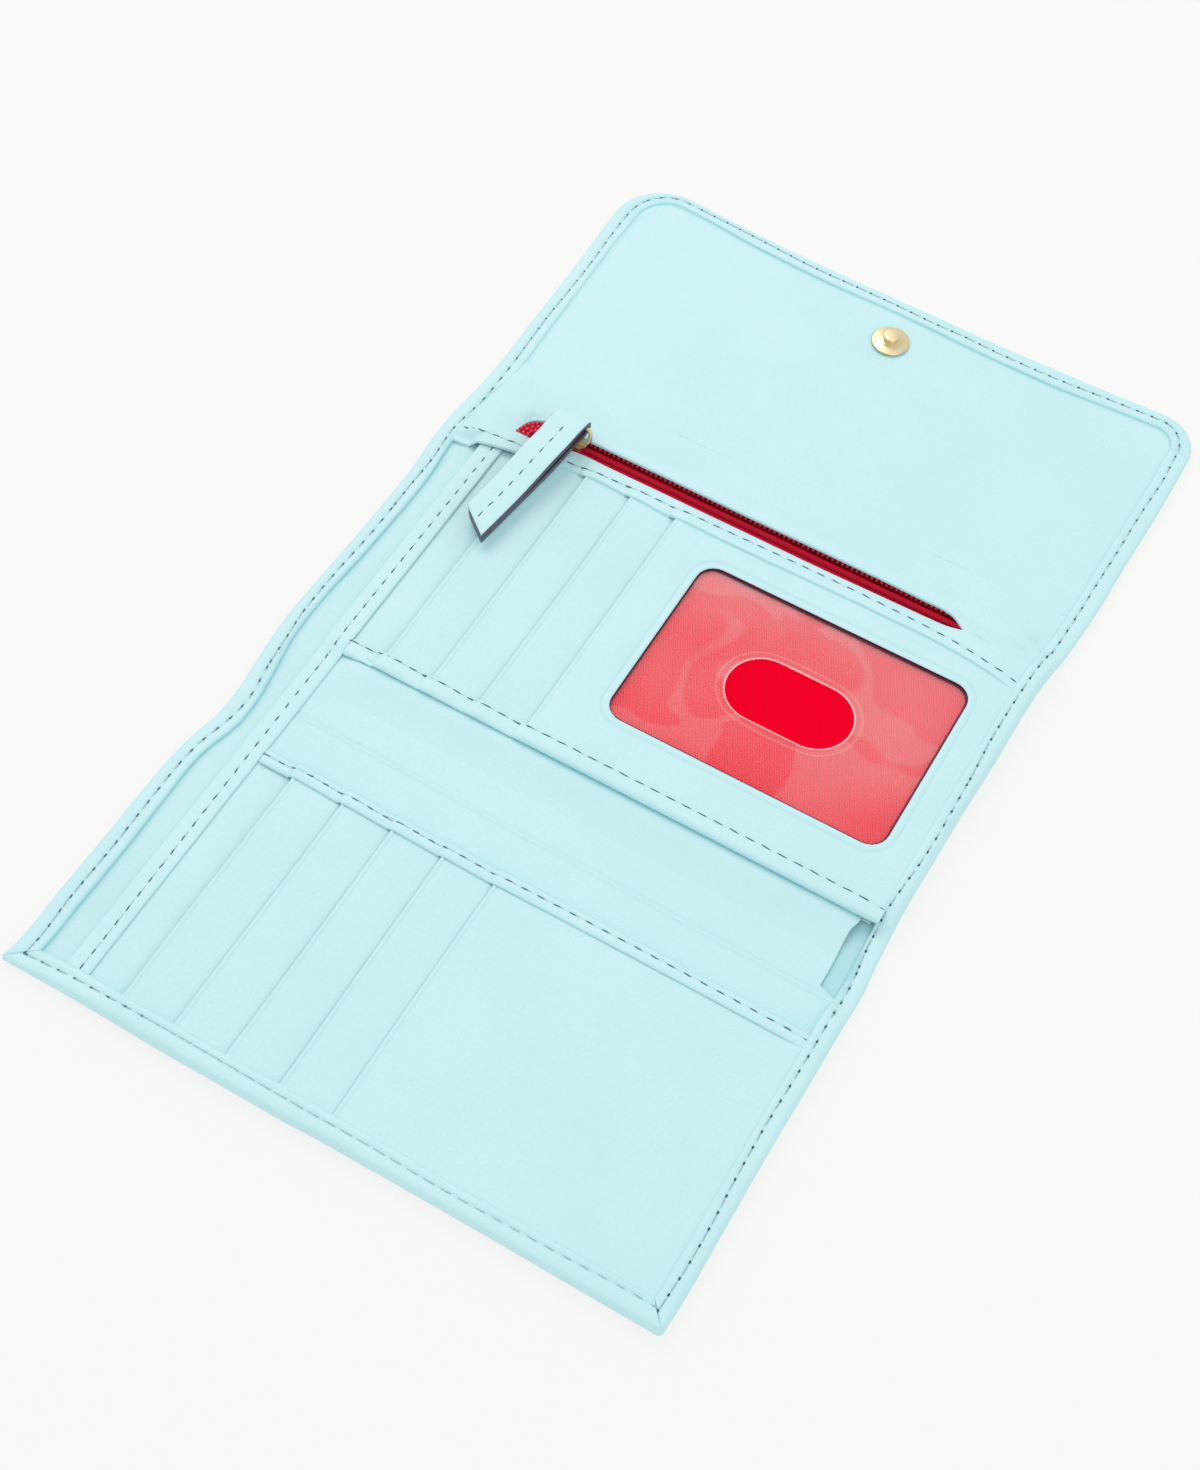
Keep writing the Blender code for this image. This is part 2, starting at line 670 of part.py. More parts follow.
def identity_window():
    body = "back_pivot"
    low, high = window_place()
    outline = (
        (X_WINDOW_PANEL, Y_POCKET),
        (X_RIGHT_INNER, Y_POCKET),
        (X_RIGHT_INNER, Y_POCKET_TOP),
        (X_WINDOW_PANEL, Y_POCKET_TOP),
    )
    hole = rounded_rectangle(low, high, WINDOW_RADIUS)
    panel = plate("window_panel", outline, Z_WINDOW_PANEL, Z_WINDOW_PANEL_TOP, [hole])
    finish(panel, leather(), body)
    film_low = (low[0] - FILM_MARGIN, low[1] - FILM_MARGIN)
    film_high = (high[0] + FILM_MARGIN, high[1] + FILM_MARGIN)
    backing = box("window_backing", (*film_low, Z_BACK_SLOT), (*film_high, Z_BACK_SLOT + FABRIC_THICKNESS))
    finish(backing, red_fabric(), body)
    centre = ((low[0] + high[0]) / 2, (low[1] + high[1]) / 2)
    thumb_width = (high[0] - low[0]) * THUMB_HOLE_WIDTH_SHARE
    thumb_height = (high[1] - low[1]) * THUMB_HOLE_HEIGHT_SHARE
    thumb = rounded_rectangle(
        (centre[0] - thumb_width / 2, centre[1] - thumb_height / 2),
        (centre[0] + thumb_width / 2, centre[1] + thumb_height / 2),
        thumb_height / 2 * THUMB_HOLE_ROUNDING_SHARE,
        ROUND_STEPS // 4,
    )
    outline = rounded_rectangle(film_low, film_high, WINDOW_RADIUS)
    film = plate("window_film", outline, Z_FILM, Z_FILM + FABRIC_THICKNESS, [thumb])
    finish(film, clear_film(), body)


def tooth_row(name, side, body):
    """One row of zip teeth: a comb with a pointed nose on every tooth."""
    root = Y_ZIP + side * (ROW_GAP / 2 + ROW_WIDTH)
    web = root - side * TOOTH_ROOT
    shoulder = Y_ZIP + side * (ROW_GAP / 2 + TOOTH_NOSE_WIDTH)
    nose = Y_ZIP + side * ROW_GAP / 2
    start = X_ZIP_LEFT + STOP_LENGTH + SEAT_GAP
    end = X_ZIP_RIGHT - STOP_LENGTH - SEAT_GAP
    count = int((end - start) / TOOTH_PITCH)
    stagger = TOOTH_PITCH / 4 * side
    first = (start + end - count * TOOTH_PITCH) / 2 + stagger + TOOTH_PITCH / 2
    points = [(start, root), (start, web)]
    for index in range(count):
        middle = first + index * TOOTH_PITCH
        points.append((middle - TOOTH_WIDTH / 2, web))
        points.append((middle - TOOTH_WIDTH / 2, shoulder))
        points.append((middle, nose))
        points.append((middle + TOOTH_WIDTH / 2, shoulder))
        points.append((middle + TOOTH_WIDTH / 2, web))
    points.extend([(end, web), (end, root)])
    piece = plate(name, points, Z_ROW, Z_ROW_TOP)
    return finish(piece, red_nylon(), body)


def zip_pocket():
    body = "back_pivot"
    y_end = Y_FLAP_CREASE - HALF_CREASE
    bag_from = Y_SPINE_CREASE + HALF_CREASE + TAIL_LENGTH + BAG_TAIL_SETBACK
    sheet(
        "zip_pocket", X_LEFT + BAG_INSET, X_RIGHT - BAG_INSET, bag_from, y_end - SEAT_GAP,
        Z_SHEET, Z_SHEET + BAG_THICKNESS, red_fabric(), body,
    )
    row_outer = ROW_GAP / 2 + ROW_WIDTH
    tape_left = X_LEFT + TAPE_INSET
    tape_inner = row_outer - TOOTH_ROOT
    lower = box(
        "zip_tape_lower",
        (tape_left, Y_POCKET_TOP + SEAT_GAP, Z_TAPE),
        (X_RIGHT_INNER, Y_ZIP - tape_inner, Z_TAPE_TOP),
    )
    finish(lower, red_fabric(), body)
    upper = box(
        "zip_tape_upper",
        (tape_left, Y_ZIP + tape_inner, Z_TAPE),
        (X_RIGHT_INNER, Y_ZIP + UPPER_TAPE_REACH, Z_TAPE_TOP),
    )
    finish(upper, red_fabric(), body)
    tooth_row("zip_teeth_lower", -1, body)
    tooth_row("zip_teeth_upper", 1, body)
    for name, start in (("zip_stop_left", X_ZIP_LEFT), ("zip_stop_right", X_ZIP_RIGHT - STOP_LENGTH)):
        stop = box(name, (start, Y_ZIP - row_outer, Z_ROW), (start + STOP_LENGTH, Y_ZIP + row_outer, Z_ROW_TOP))
        soften(stop, SHEET_ROUNDING, 1)
        finish(stop, red_nylon(), body)
    low = Z_TAPE_TOP + SEAT_GAP
    bend = Y_ZIP_BINDING + ZIP_BINDING_FLAT
    section = (
        (Y_ZIP_BINDING, Z_LIP),
        (bend, Z_LIP),
        (Y_ZIP_BINDING_TOP, low),
        (Y_ZIP_BINDING_TOP, low + LEATHER_THICKNESS),
        (bend, Z_LIP_TOP),
        (Y_ZIP_BINDING, Z_LIP_TOP),
    )
    strip = run_along_x("zip_binding", section, X_LEFT_INNER, X_RIGHT_INNER)
    finish(strip, leather(), body)
    shoulder = Y_FACING + FACING_SHOULDER
    section = (
        (Y_FACING, Z_FACING),
        (shoulder, Z_FACING),
        (y_end, low),
        (y_end, low + LEATHER_THICKNESS),
        (shoulder, Z_FACING_TOP),
        (Y_FACING, Z_FACING_TOP),
    )
    left_end = X_LEFT + FACING_LEFT_INSET
    facing = run_along_x("zip_facing", section, left_end, X_RIGHT_INNER)
    ends = (("left", left_end, X_ZIP_LEFT - SEAT_GAP), ("right", X_ZIP_RIGHT + SEAT_GAP, X_RIGHT_INNER))
    for label, end_from, end_to in ends:
        add_to(facing, box(
            "facing_end_" + label,
            (end_from, Y_ZIP_BINDING_TOP + SEAT_GAP, Z_FACING),
            (end_to, shoulder, Z_FACING_TOP),
        ))
    finish(facing, leather(), body)


def slider():
    """Slider: shield-shaped plates round the two tooth channels, with an eyed lug."""
    nose = X_SLIDER + SLIDER_LENGTH / 2
    tail = X_SLIDER - SLIDER_LENGTH / 2
    middle = X_SLIDER
    half_nose = SLIDER_NOSE_WIDTH / 2
    half_tail = SLIDER_TAIL_WIDTH / 2
    chamfer = half_nose / 2
    outline = (
        (tail, Y_ZIP - half_tail),
        (middle, Y_ZIP - half_tail),
        (nose - chamfer, Y_ZIP - half_nose),
        (nose, Y_ZIP - chamfer),
        (nose, Y_ZIP + chamfer),
        (nose - chamfer, Y_ZIP + half_nose),
        (middle, Y_ZIP + half_tail),
        (tail, Y_ZIP + half_tail),
    )
    piece = plate("slider_body", outline, Z_BASE, Z_PLATE_TOP)
    floor = Z_BASE + SLIDER_PLATE
    post = POST_THICKNESS / 2
    wide = ROW_GAP / 2 + ROW_WIDTH + SLIDER_CLEARANCE
    slit_top = Z_TAPE_TOP + SLIDER_CLEARANCE
    shapes = []
    for label, side in (("low", -1), ("high", 1)):
        near, far = sorted((Y_ZIP + side * post, Y_ZIP + side * wide))
        shapes.append(box(
            "channel_" + label,
            (tail - OVERRUN, near, floor),
            (nose + OVERRUN, far, Z_PLATE),
        ))
        near, far = sorted((Y_ZIP + side * post, Y_ZIP + side * (half_nose + OVERRUN)))
        shapes.append(box(
            "tape_slit_" + label,
            (tail - OVERRUN, near, floor),
            (nose + OVERRUN, far, slit_top),
        ))
    shapes.append(box(
        "tail_mouth",
        (tail - OVERRUN, Y_ZIP - ROW_GAP / 2, floor),
        (middle, Y_ZIP + ROW_GAP / 2, Z_PLATE),
    ))
    cut(piece, *shapes)
    half_lug = LUG_DEPTH / 2
    foot = Z_PLATE_TOP - SLIDER_PLATE / 2
    arch = [(Y_NEAR_BAR - half_lug, foot), (Y_NEAR_BAR + half_lug, foot)]
    arch.extend(arc((Y_NEAR_BAR, Z_NEAR_BAR), half_lug, 0.0, 180.0, ROUND_STEPS // 4))
    lug = plate(
        "slider_lug_blank",
        arch,
        -LUG_THICKNESS / 2,
        LUG_THICKNESS / 2,
        [oval((Y_NEAR_BAR, Z_NEAR_BAR), 2 * LUG_EYE_RADIUS, 2 * LUG_EYE_RADIUS, ROUND_STEPS // 2)],
    )
    lug.rotation_euler = (math.pi / 2, 0.0, math.pi / 2)
    lug.location = (X_SLIDER, 0.0, 0.0)
    add_to(piece, lug)
    return finish(piece, gold(), "slider_pivot")


def far_bar_place():
    """Centre of the ring's upper bar, which the pull hangs on."""
    y_at = Y_NEAR_BAR - RING_HEIGHT * math.sin(RING_LEAN)
    z_at = Z_NEAR_BAR + RING_HEIGHT * math.cos(RING_LEAN)
    return y_at, z_at


def pull_ring():
    """A rectangular wire ring, leaning towards the flap."""
    half_width = RING_WIDTH / 2 - RING_WIRE_RADIUS
    path = rounded_rectangle((-half_width, 0.0), (half_width, RING_HEIGHT), RING_CORNER_RADIUS, 4)
    curve = bpy.data.curves.new("pull_ring", "CURVE")
    curve.dimensions = "3D"
    curve.bevel_depth = RING_WIRE_RADIUS
    curve.bevel_resolution = 2
    spline = curve.splines.new("POLY")
    spline.points.add(len(path) - 1)
    for point, (across, up) in zip(spline.points, path):
        point.co = (across, 0.0, up, 1.0)
    spline.use_cyclic_u = True
    guide = bpy.data.objects.new("pull_ring_wire", curve)
    PARTS.objects.link(guide)
    guide.location = (X_SLIDER, Y_NEAR_BAR, Z_NEAR_BAR)
    guide.rotation_euler = (RING_LEAN, 0.0, 0.0)
    piece = solid_from(guide, "pull_ring")
    return finish(piece, gold(), "ring_pivot")


def pull_tab():
    """A leather strap folded round the ring's bar and cut on a slant at its end."""
    y_bar, z_bar = far_bar_place()
    outer = PULL_EYE_RADIUS + PULL_WALL
    z_end = Z_WINDOW_PANEL_TOP + SEAT_GAP
    y_end = y_bar - PULL_LENGTH
    y_neck = y_bar - PULL_NECK
    z_neck = z_bar - outer
    section = arc((y_bar, z_bar), outer, -90.0, 90.0, 10)
    section.append((y_neck, z_neck + PULL_THICKNESS + PULL_EYE_RADIUS))
    section.append((y_end, z_end + PULL_THICKNESS))
    section.append((y_end, z_end))
    section.append((y_neck, z_neck))
    eye = oval((y_bar, z_bar), 2 * PULL_EYE_RADIUS, 2 * PULL_EYE_RADIUS, ROUND_STEPS // 2)
    piece = run_along_x("pull_tab", section, X_SLIDER - PULL_WIDTH / 2, X_SLIDER + PULL_WIDTH / 2, [eye])
    shape = bmesh.new()
    shape.from_mesh(piece.data)
    for vertex in shape.verts:
        behind = max(y_bar - vertex.co.x, 0.0)
        vertex.co.z -= behind * PULL_SLANT_SHARE
    shape.to_mesh(piece.data)
    shape.free()
    corner_x = X_SLIDER - PULL_LENGTH * PULL_SLANT_SHARE + PULL_WIDTH / 2
    wedge = (
        (corner_x, y_end),
        (corner_x - PULL_WIDTH, y_end + PULL_END_CUT),
        (corner_x - 2 * PULL_WIDTH, y_end + 2 * PULL_END_CUT),
        (corner_x - 2 * PULL_WIDTH, y_end - PULL_WIDTH),
        (corner_x + PULL_WIDTH, y_end - PULL_END_CUT),
    )
    cut(piece, plate("pull_end_wedge", wedge, 0.0, z_bar + OVERRUN))
    soften(piece, PULL_EDGE_ROUNDING)
    return finish(piece, painted_leather(), "pull_pivot")


def flap_outline(inset, y_from, y_to, corner):
    """Plan outline of the flap, flared towards its rounded edge."""
    start = WALLET_WIDTH / 2 - inset
    flare = FLAP_FLARE * (y_to - y_from) / FLAP_LENGTH
    end = start + flare
    top = y_to
    points = [(FLAP_SHIFT - start, y_from), (FLAP_SHIFT + start, y_from)]
    points.extend(arc((FLAP_SHIFT + end - corner, top - corner), corner, 0.0, 90.0, 8))
    points.extend(arc((FLAP_SHIFT - end + corner, top - corner), corner, 90.0, 180.0, 8))
    return points


def bridge_panel():
    """The narrow panel between the flap's two creases."""
    body = "bridge_pivot"
    y_from = Y_FLAP_CREASE + HALF_CREASE
    y_to = Y_FLAP_BEND - HALF_CREASE
    left = FLAP_SHIFT - WALLET_WIDTH / 2
    right = FLAP_SHIFT + WALLET_WIDTH / 2
    cover = box("bridge_cover", (left, y_from, 0.0), (right, y_to, FOLD_HEIGHT))
    cut(cover, box(
        "bridge_hollow",
        (left + HEM_WIDTH, y_from - OVERRUN, SHELL_THICKNESS),
        (right - HEM_WIDTH, y_to + OVERRUN, FOLD_HEIGHT + OVERRUN),
    ))
    soften(cover, EDGE_ROUNDING)
    finish(cover, leather(), body)
    inner = HEM_WIDTH + SEAT_GAP
    sheet(
        "bridge_lining", left + inner, right - inner, y_from, y_to,
        Z_LINING, Z_FLAP_LINING_TOP, leather(), body,
    )


def flap_panel():
    body = "flap_pivot"
    y_from = Y_FLAP_BEND + HALF_CREASE
    place = (FLAP_SHIFT, Y_STUD)
    cover = plate("flap_cover", flap_outline(0.0, y_from, Y_FLAP_EDGE, FLAP_CORNER_RADIUS), 0.0, FOLD_HEIGHT)
    hollow_edge = Y_FLAP_EDGE - HEM_WIDTH
    hollow_corner = FLAP_CORNER_RADIUS - HEM_WIDTH
    hollow = plate(
        "flap_hollow",
        flap_outline(HEM_WIDTH, y_from - OVERRUN, hollow_edge, hollow_corner),
        SHELL_THICKNESS,
        FOLD_HEIGHT + OVERRUN,
    )
    recess_top = SEAT_GAP / 2 + CAP_THICKNESS + SEAT_GAP / 2
    recess = well("cap_recess", *place, CAP_RADIUS + SEAT_GAP, -OVERRUN, recess_top)
    stem_hole = well("cap_stem_hole", *place, CAP_POST_RADIUS + SEAT_GAP, -OVERRUN, FOLD_HEIGHT)
    cut(cover, hollow, recess, stem_hole)
    soften(cover, EDGE_ROUNDING)
    finish(cover, leather(), body)
    inner = HEM_WIDTH + SEAT_GAP
    outline = flap_outline(inner, y_from, Y_FLAP_EDGE - inner, FLAP_CORNER_RADIUS - inner)
    stem = oval(place, 2 * (CAP_POST_RADIUS + SEAT_GAP), 2 * (CAP_POST_RADIUS + SEAT_GAP), ROUND_STEPS)
    lining = plate("flap_lining", outline, Z_LINING, Z_FLAP_LINING_TOP, [stem])
    finish(lining, leather(), body)


def snap_stud():
    """The stud on the flap's lining and the cap whose post it is riveted to."""
    knob_top = Z_FLANGE_TOP + STUD_KNOB_HEIGHT
    third = STUD_KNOB_HEIGHT / 3
    rim = STUD_FLANGE_HEIGHT / 2
    profile = (
        (0.0, knob_top),
        (STUD_NECK_RADIUS, knob_top),
        (STUD_KNOB_RADIUS, knob_top - third),
        (STUD_NECK_RADIUS, Z_FLANGE_TOP + third / 2),
        (STUD_KNOB_RADIUS, Z_FLANGE_TOP),
        (STUD_FLANGE_RADIUS - rim, Z_FLANGE_TOP),
        (STUD_FLANGE_RADIUS, Z_FLANGE + rim),
        (STUD_FLANGE_RADIUS - rim, Z_FLANGE),
        (0.0, Z_FLANGE),
    )
    place = (FLAP_SHIFT, Y_STUD, 0.0)
    finish(turned("snap_stud", profile, place), gold(), "flap_pivot")
    low = SEAT_GAP / 2
    post_top = Z_FLANGE - SEAT_GAP
    edge = CAP_THICKNESS / 2
    profile = (
        (0.0, post_top),
        (CAP_POST_RADIUS, post_top),
        (CAP_POST_RADIUS, low + CAP_THICKNESS),
        (CAP_RADIUS - edge, low + CAP_THICKNESS),
        (CAP_RADIUS, low + edge),
        (CAP_RADIUS - edge, low),
        (0.0, low),
    )
    finish(turned("snap_cap", profile, place), gold(), "flap_pivot")


def make_pivots():
    y_bar, z_bar = far_bar_place()
    pivot("back_pivot", (0.0, 0.0, 0.0))
    pivot("spine_pivot", (0.0, Y_SPINE_CREASE, FOLD_HEIGHT), "back_pivot")
    pivot("front_pivot", (0.0, Y_FRONT_CREASE, FOLD_HEIGHT), "spine_pivot")
    pivot("bridge_pivot", (0.0, Y_FLAP_CREASE, FOLD_HEIGHT), "back_pivot")
    pivot("flap_pivot", (0.0, Y_FLAP_BEND, FOLD_HEIGHT), "bridge_pivot")
    pivot("slider_pivot", (X_SLIDER, Y_ZIP, Z_ROW), "back_pivot")
    pivot("ring_pivot", (X_SLIDER, Y_NEAR_BAR, Z_NEAR_BAR), "slider_pivot")
    pivot("pull_pivot", (X_SLIDER, y_bar, z_bar), "ring_pivot")


clear_scene()
PARTS = new_collection("flap_wallet")
CUTTERS = new_collection("cutters")
make_pivots()
front_panel()
snap_socket()
spine_panel()
back_panel()
identity_window()
zip_pocket()
slider()
pull_ring()
pull_tab()
bridge_panel()
flap_panel()
snap_stud()
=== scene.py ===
"""Dresses the flap wallet: stitched mint leather, a red zip pocket, an identity window and a snap.

Lengths in the shape functions are millimetres in the wallet's own frame: X along the creases,
Y from the front panel's edge to the flap's edge, Z up out of the open inside.
"""

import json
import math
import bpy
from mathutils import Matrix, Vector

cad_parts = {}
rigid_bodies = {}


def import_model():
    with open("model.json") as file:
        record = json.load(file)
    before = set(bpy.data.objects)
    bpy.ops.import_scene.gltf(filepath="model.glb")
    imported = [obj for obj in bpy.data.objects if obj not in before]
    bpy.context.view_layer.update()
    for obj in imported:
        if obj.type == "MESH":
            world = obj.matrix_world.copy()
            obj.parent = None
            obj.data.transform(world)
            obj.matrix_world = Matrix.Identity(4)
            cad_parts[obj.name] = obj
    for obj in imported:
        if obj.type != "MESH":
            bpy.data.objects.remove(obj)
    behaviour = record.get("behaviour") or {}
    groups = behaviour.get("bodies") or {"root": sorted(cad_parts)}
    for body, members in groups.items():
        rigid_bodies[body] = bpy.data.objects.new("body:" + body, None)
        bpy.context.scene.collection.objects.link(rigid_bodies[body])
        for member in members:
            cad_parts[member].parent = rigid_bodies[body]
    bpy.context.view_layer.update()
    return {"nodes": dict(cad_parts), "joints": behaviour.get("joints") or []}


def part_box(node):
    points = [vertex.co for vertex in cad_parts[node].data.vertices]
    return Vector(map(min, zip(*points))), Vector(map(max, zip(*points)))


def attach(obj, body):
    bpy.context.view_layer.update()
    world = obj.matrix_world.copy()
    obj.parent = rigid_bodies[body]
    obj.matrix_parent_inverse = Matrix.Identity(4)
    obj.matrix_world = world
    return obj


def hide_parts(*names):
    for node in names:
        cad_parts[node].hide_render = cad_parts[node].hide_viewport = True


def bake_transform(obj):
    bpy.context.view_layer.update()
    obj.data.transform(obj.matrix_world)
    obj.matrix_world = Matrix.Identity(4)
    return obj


bl_info = {
    "name": "Flap Wallet",
    "version": (1, 0, 0),
    "blender": (4, 5, 0),
    "location": "View3D > Sidebar > Wallet",
    "description": "Makes the leather, stitching, zip, window and snap of an open flap wallet",
    "category": "Object",
}

import bmesh
import bpy
import numpy as np
from bpy.props import FloatProperty, FloatVectorProperty, PointerProperty
from mathutils import Matrix, Vector

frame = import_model()
MM = 0.001


# Places that follow the frame

def span(node):
    low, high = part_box(node)
    return np.array(low) / MM, np.array(high) / MM


def axis_y(joint):
    return next(j for j in frame["joints"] if j["name"] == joint)["pos_m"][1] / MM


Y_FRONT_CREASE = axis_y("front_fold")
Y_SPINE_CREASE = axis_y("spine_fold")
Y_FLAP_CREASE = axis_y("bridge_fold")
Y_FLAP_BEND = axis_y("flap_fold")
Y_FRONT_EDGE = span("front_cover")[0][1]
Y_IN_SPINE = (Y_FRONT_CREASE + Y_SPINE_CREASE) / 2
Y_IN_BRIDGE = (Y_FLAP_CREASE + Y_FLAP_BEND) / 2
Y_IN_BACK = 0.0
Z_FOLD = span("spine_cover")[1][2]
Z_SHELL = 1.1
FRONT_HEM = 6.0
STRIP, STRIP_END = span("spine_side_binding")
X_INNER = span("front_lining")[1][0]
X_SLOT = span("front_slot_1")[0][0]
X_FRONT_POCKET = span("front_pocket_panel")[0][0]
X_WINDOW_PANEL = span("window_panel")[0][0]
Y_LIP, Y_LIP_TOP = span("lip_binding")[0][1], span("lip_binding")[1][1]
Y_BINDING, Y_BINDING_TOP = span("front_binding")[0][1], span("front_binding")[1][1]
Y_ZIP_BINDING = span("zip_binding")[0][1]
Z_LINING, Z_SHEET = 1.7, 2.5
Z_FRONT_SLOTS, Z_BACK_SLOTS = 2.8, 3.6
Z_FILM = 4.24
Z_FLOOR = -0.15
TUCK = 0.6
THREAD_SINK = 0.02
Z_UNDER_THREAD = 0.04


# Sizes and colours that a user would change

def length_of(name, description, default, least):
    return FloatProperty(name=name, description=description, default=default, min=least, unit="LENGTH")


def colour_of(name, description, default):
    return FloatVectorProperty(
        name=name, description=description, default=default, subtype="COLOR", size=3, min=0.0, max=1.0)


class WalletSizes(bpy.types.PropertyGroup):
    stitch_pitch: length_of("Stitch pitch", "Distance from one stitch to the next", 0.0042, 0.001)
    stitch_length: length_of("Stitch length", "Length of the thread that shows in one stitch", 0.0021, 0.0005)
    thread_radius: length_of("Thread radius", "Half the thickness of the sewing thread", 0.00022, 0.0001)
    grain_size: length_of("Grain size", "Size of one pebble of the leather's grain", 0.00065, 0.0001)
    crease_depth: length_of(
        "Crease depth", "Depth of the creased lines along the pocket mouths", 0.00018, 0.0)
    coil_pitch: length_of(
        "Coil pitch", "Distance from one turn of the zip's coil to the next", 0.0014, 0.0005)
    twill_pitch: length_of(
        "Twill pitch", "Distance from one rib of the red cloth to the next", 0.0006, 0.0002)


class WalletColours(bpy.types.PropertyGroup):
    leather: colour_of("Leather", "Main colour of the leather", (0.640, 0.896, 0.920))
    # The darker leather colour: for the random mottling and grain, and for painted shade in creases, recesses
    # and under edges.
    leather_deep_and_shade: colour_of(
        "Leather in folds", "Colour of the leather in creases and under edges", (0.30, 0.68, 0.73))
    thread_dark: colour_of(
        "Dark thread", "Colour of the long stitches that stand out", (0.10, 0.20, 0.25))
    thread_black: colour_of(
        "Blackish thread", "Colour of the short stitches along the right hem", (0.035, 0.07, 0.09))
    thread_pale: colour_of(
        "Pale thread", "Colour of the thread between the dark stitches", (0.50, 0.58, 0.68))
    thread_faint: colour_of(
        "Faint thread", "Colour of the stitches that blend in with the leather", (0.50, 0.70, 0.74))
    cloth: colour_of("Red cloth", "Colour of the pocket cloth and the zip's tapes", (0.99, 0.0, 0.022))
    coil: colour_of("Zip coil", "Colour of the zip's nylon coil", (0.36, 0.003, 0.026))
    gold: colour_of("Gold", "Colour of the plated metal", (0.86, 0.70, 0.42))
    edge_paint: colour_of("Edge paint", "Colour of the painted edges of the pull", (0.085, 0.072, 0.105))
    floor: colour_of("Floor", "Colour of the floor and the backdrop", (0.958, 0.949, 0.932))


def sizes():
    return bpy.context.scene.wallet_sizes


def colours():
    return bpy.context.scene.wallet_colours


# Curves and outlines

def smoothstep(low, high, value):
    t = np.clip((np.asarray(value, float) - low) / (high - low), 0.0, 1.0)
    return t * t * (3.0 - 2.0 * t)


def follow(points):
    """A smooth curve through (place, value) points, as a function of place."""
    places, values = np.array(sorted(points), float).T
    slopes = np.gradient(values, places)

    def value_at(where):
        where = np.asarray(where, float)
        index = np.clip(np.searchsorted(places, where) - 1, 0, len(places) - 2)
        gap = places[index + 1] - places[index]
        t = np.clip((where - places[index]) / gap, 0.0, 1.0)
        rise = 3 * t ** 2 - 2 * t ** 3
        start_slope = t * (1 - t) ** 2 * gap * slopes[index]
        end_slope = t ** 2 * (t - 1) * gap * slopes[index + 1]
        return values[index] * (1 - rise) + values[index + 1] * rise + start_slope + end_slope

    return value_at


def constant(value):
    """The same value everywhere, for an edge at a place or for a height at (x, y)."""
    return lambda where, *_: np.full_like(np.asarray(where, float), value)


LEFT_EDGE = follow([
    (-157.3, -87.2), (-154.6, -86.7), (-151.4, -86.3), (-136.2, -86.3), (-120.3, -86.1), (-104.1, -86.1),
    (-95.9, -86.0), (-87.0, -85.3), (-77.1, -83.5), (-68.5, -83.5), (-60.5, -84.3), (-52.1, -85.2),
    (-43.4, -85.7), (-34.2, -85.6), (-24.7, -85.3), (-15.0, -85.0), (-5.3, -84.8), (4.5, -84.7),
    (14.4, -84.9), (23.9, -85.7), (31.0, -85.9), (37.5, -85.6), (42.5, -85.1), (47.0, -84.7), (56.1, -84.4),
    (66.6, -84.6), (77.3, -84.9), (88.4, -85.0), (99.5, -85.3), (111.0, -85.7), (130.0, -86.0),
])
RIGHT_EDGE = follow([
    (-157.3, 84.9), (-151.0, 85.2), (-128.0, 85.2), (-105.0, 85.2), (-91.0, 85.4), (-76.8, 85.5),
    (-61.9, 85.6), (-54.8, 85.0), (-47.3, 84.7), (-39.8, 84.5), (-23.8, 84.7), (-7.4, 84.9),
    (9.7, 85.5), (26.9, 85.7), (36.0, 86.1), (45.8, 87.3), (55.4, 88.1), (64.9, 88.7),
    (84.0, 89.1), (104.0, 89.7), (126.0, 89.8),
])
FLAP_EDGE = follow([
    (-86.0, 138.9), (-72.2, 138.7), (-58.5, 137.9), (-45.3, 137.05), (-32.0, 136.5), (-19.0, 136.2),
    (6.0, 136.0), (31.0, 135.7), (55.0, 136.1), (78.0, 136.6), (90.0, 136.6),
])
FLAP_RADIUS = {-1: 15.5, 1: 11.5}
GRID_WIDTH = 160.0
HEM_WIDTH = {
    -1: follow([
        (-158.0, 6.0), (-150.0, 6.2), (-110.0, 6.2), (-100.0, 6.0), (-90.0, 5.6), (-80.0, 6.1), (-70.0, 6.2),
        (-60.0, 5.8), (-50.0, 5.0), (-40.0, 4.8), (-30.0, 4.8), (-20.0, 5.2), (-5.0, 5.4), (10.0, 5.6),
        (25.0, 5.4), (40.0, 5.6), (50.0, 6.2), (70.0, 6.0), (110.0, 5.9), (120.0, 6.2), (130.0, 6.3),
    ]),
    1: follow([
        (-158.0, 5.6), (-120.0, 5.4), (-70.0, 5.4), (-50.0, 4.8), (-37.0, 4.6), (-20.0, 4.8), (0.0, 5.0),
        (11.0, 5.3), (35.0, 5.4), (50.0, 5.9), (60.0, 6.0), (126.0, 6.0),
    ]),
}
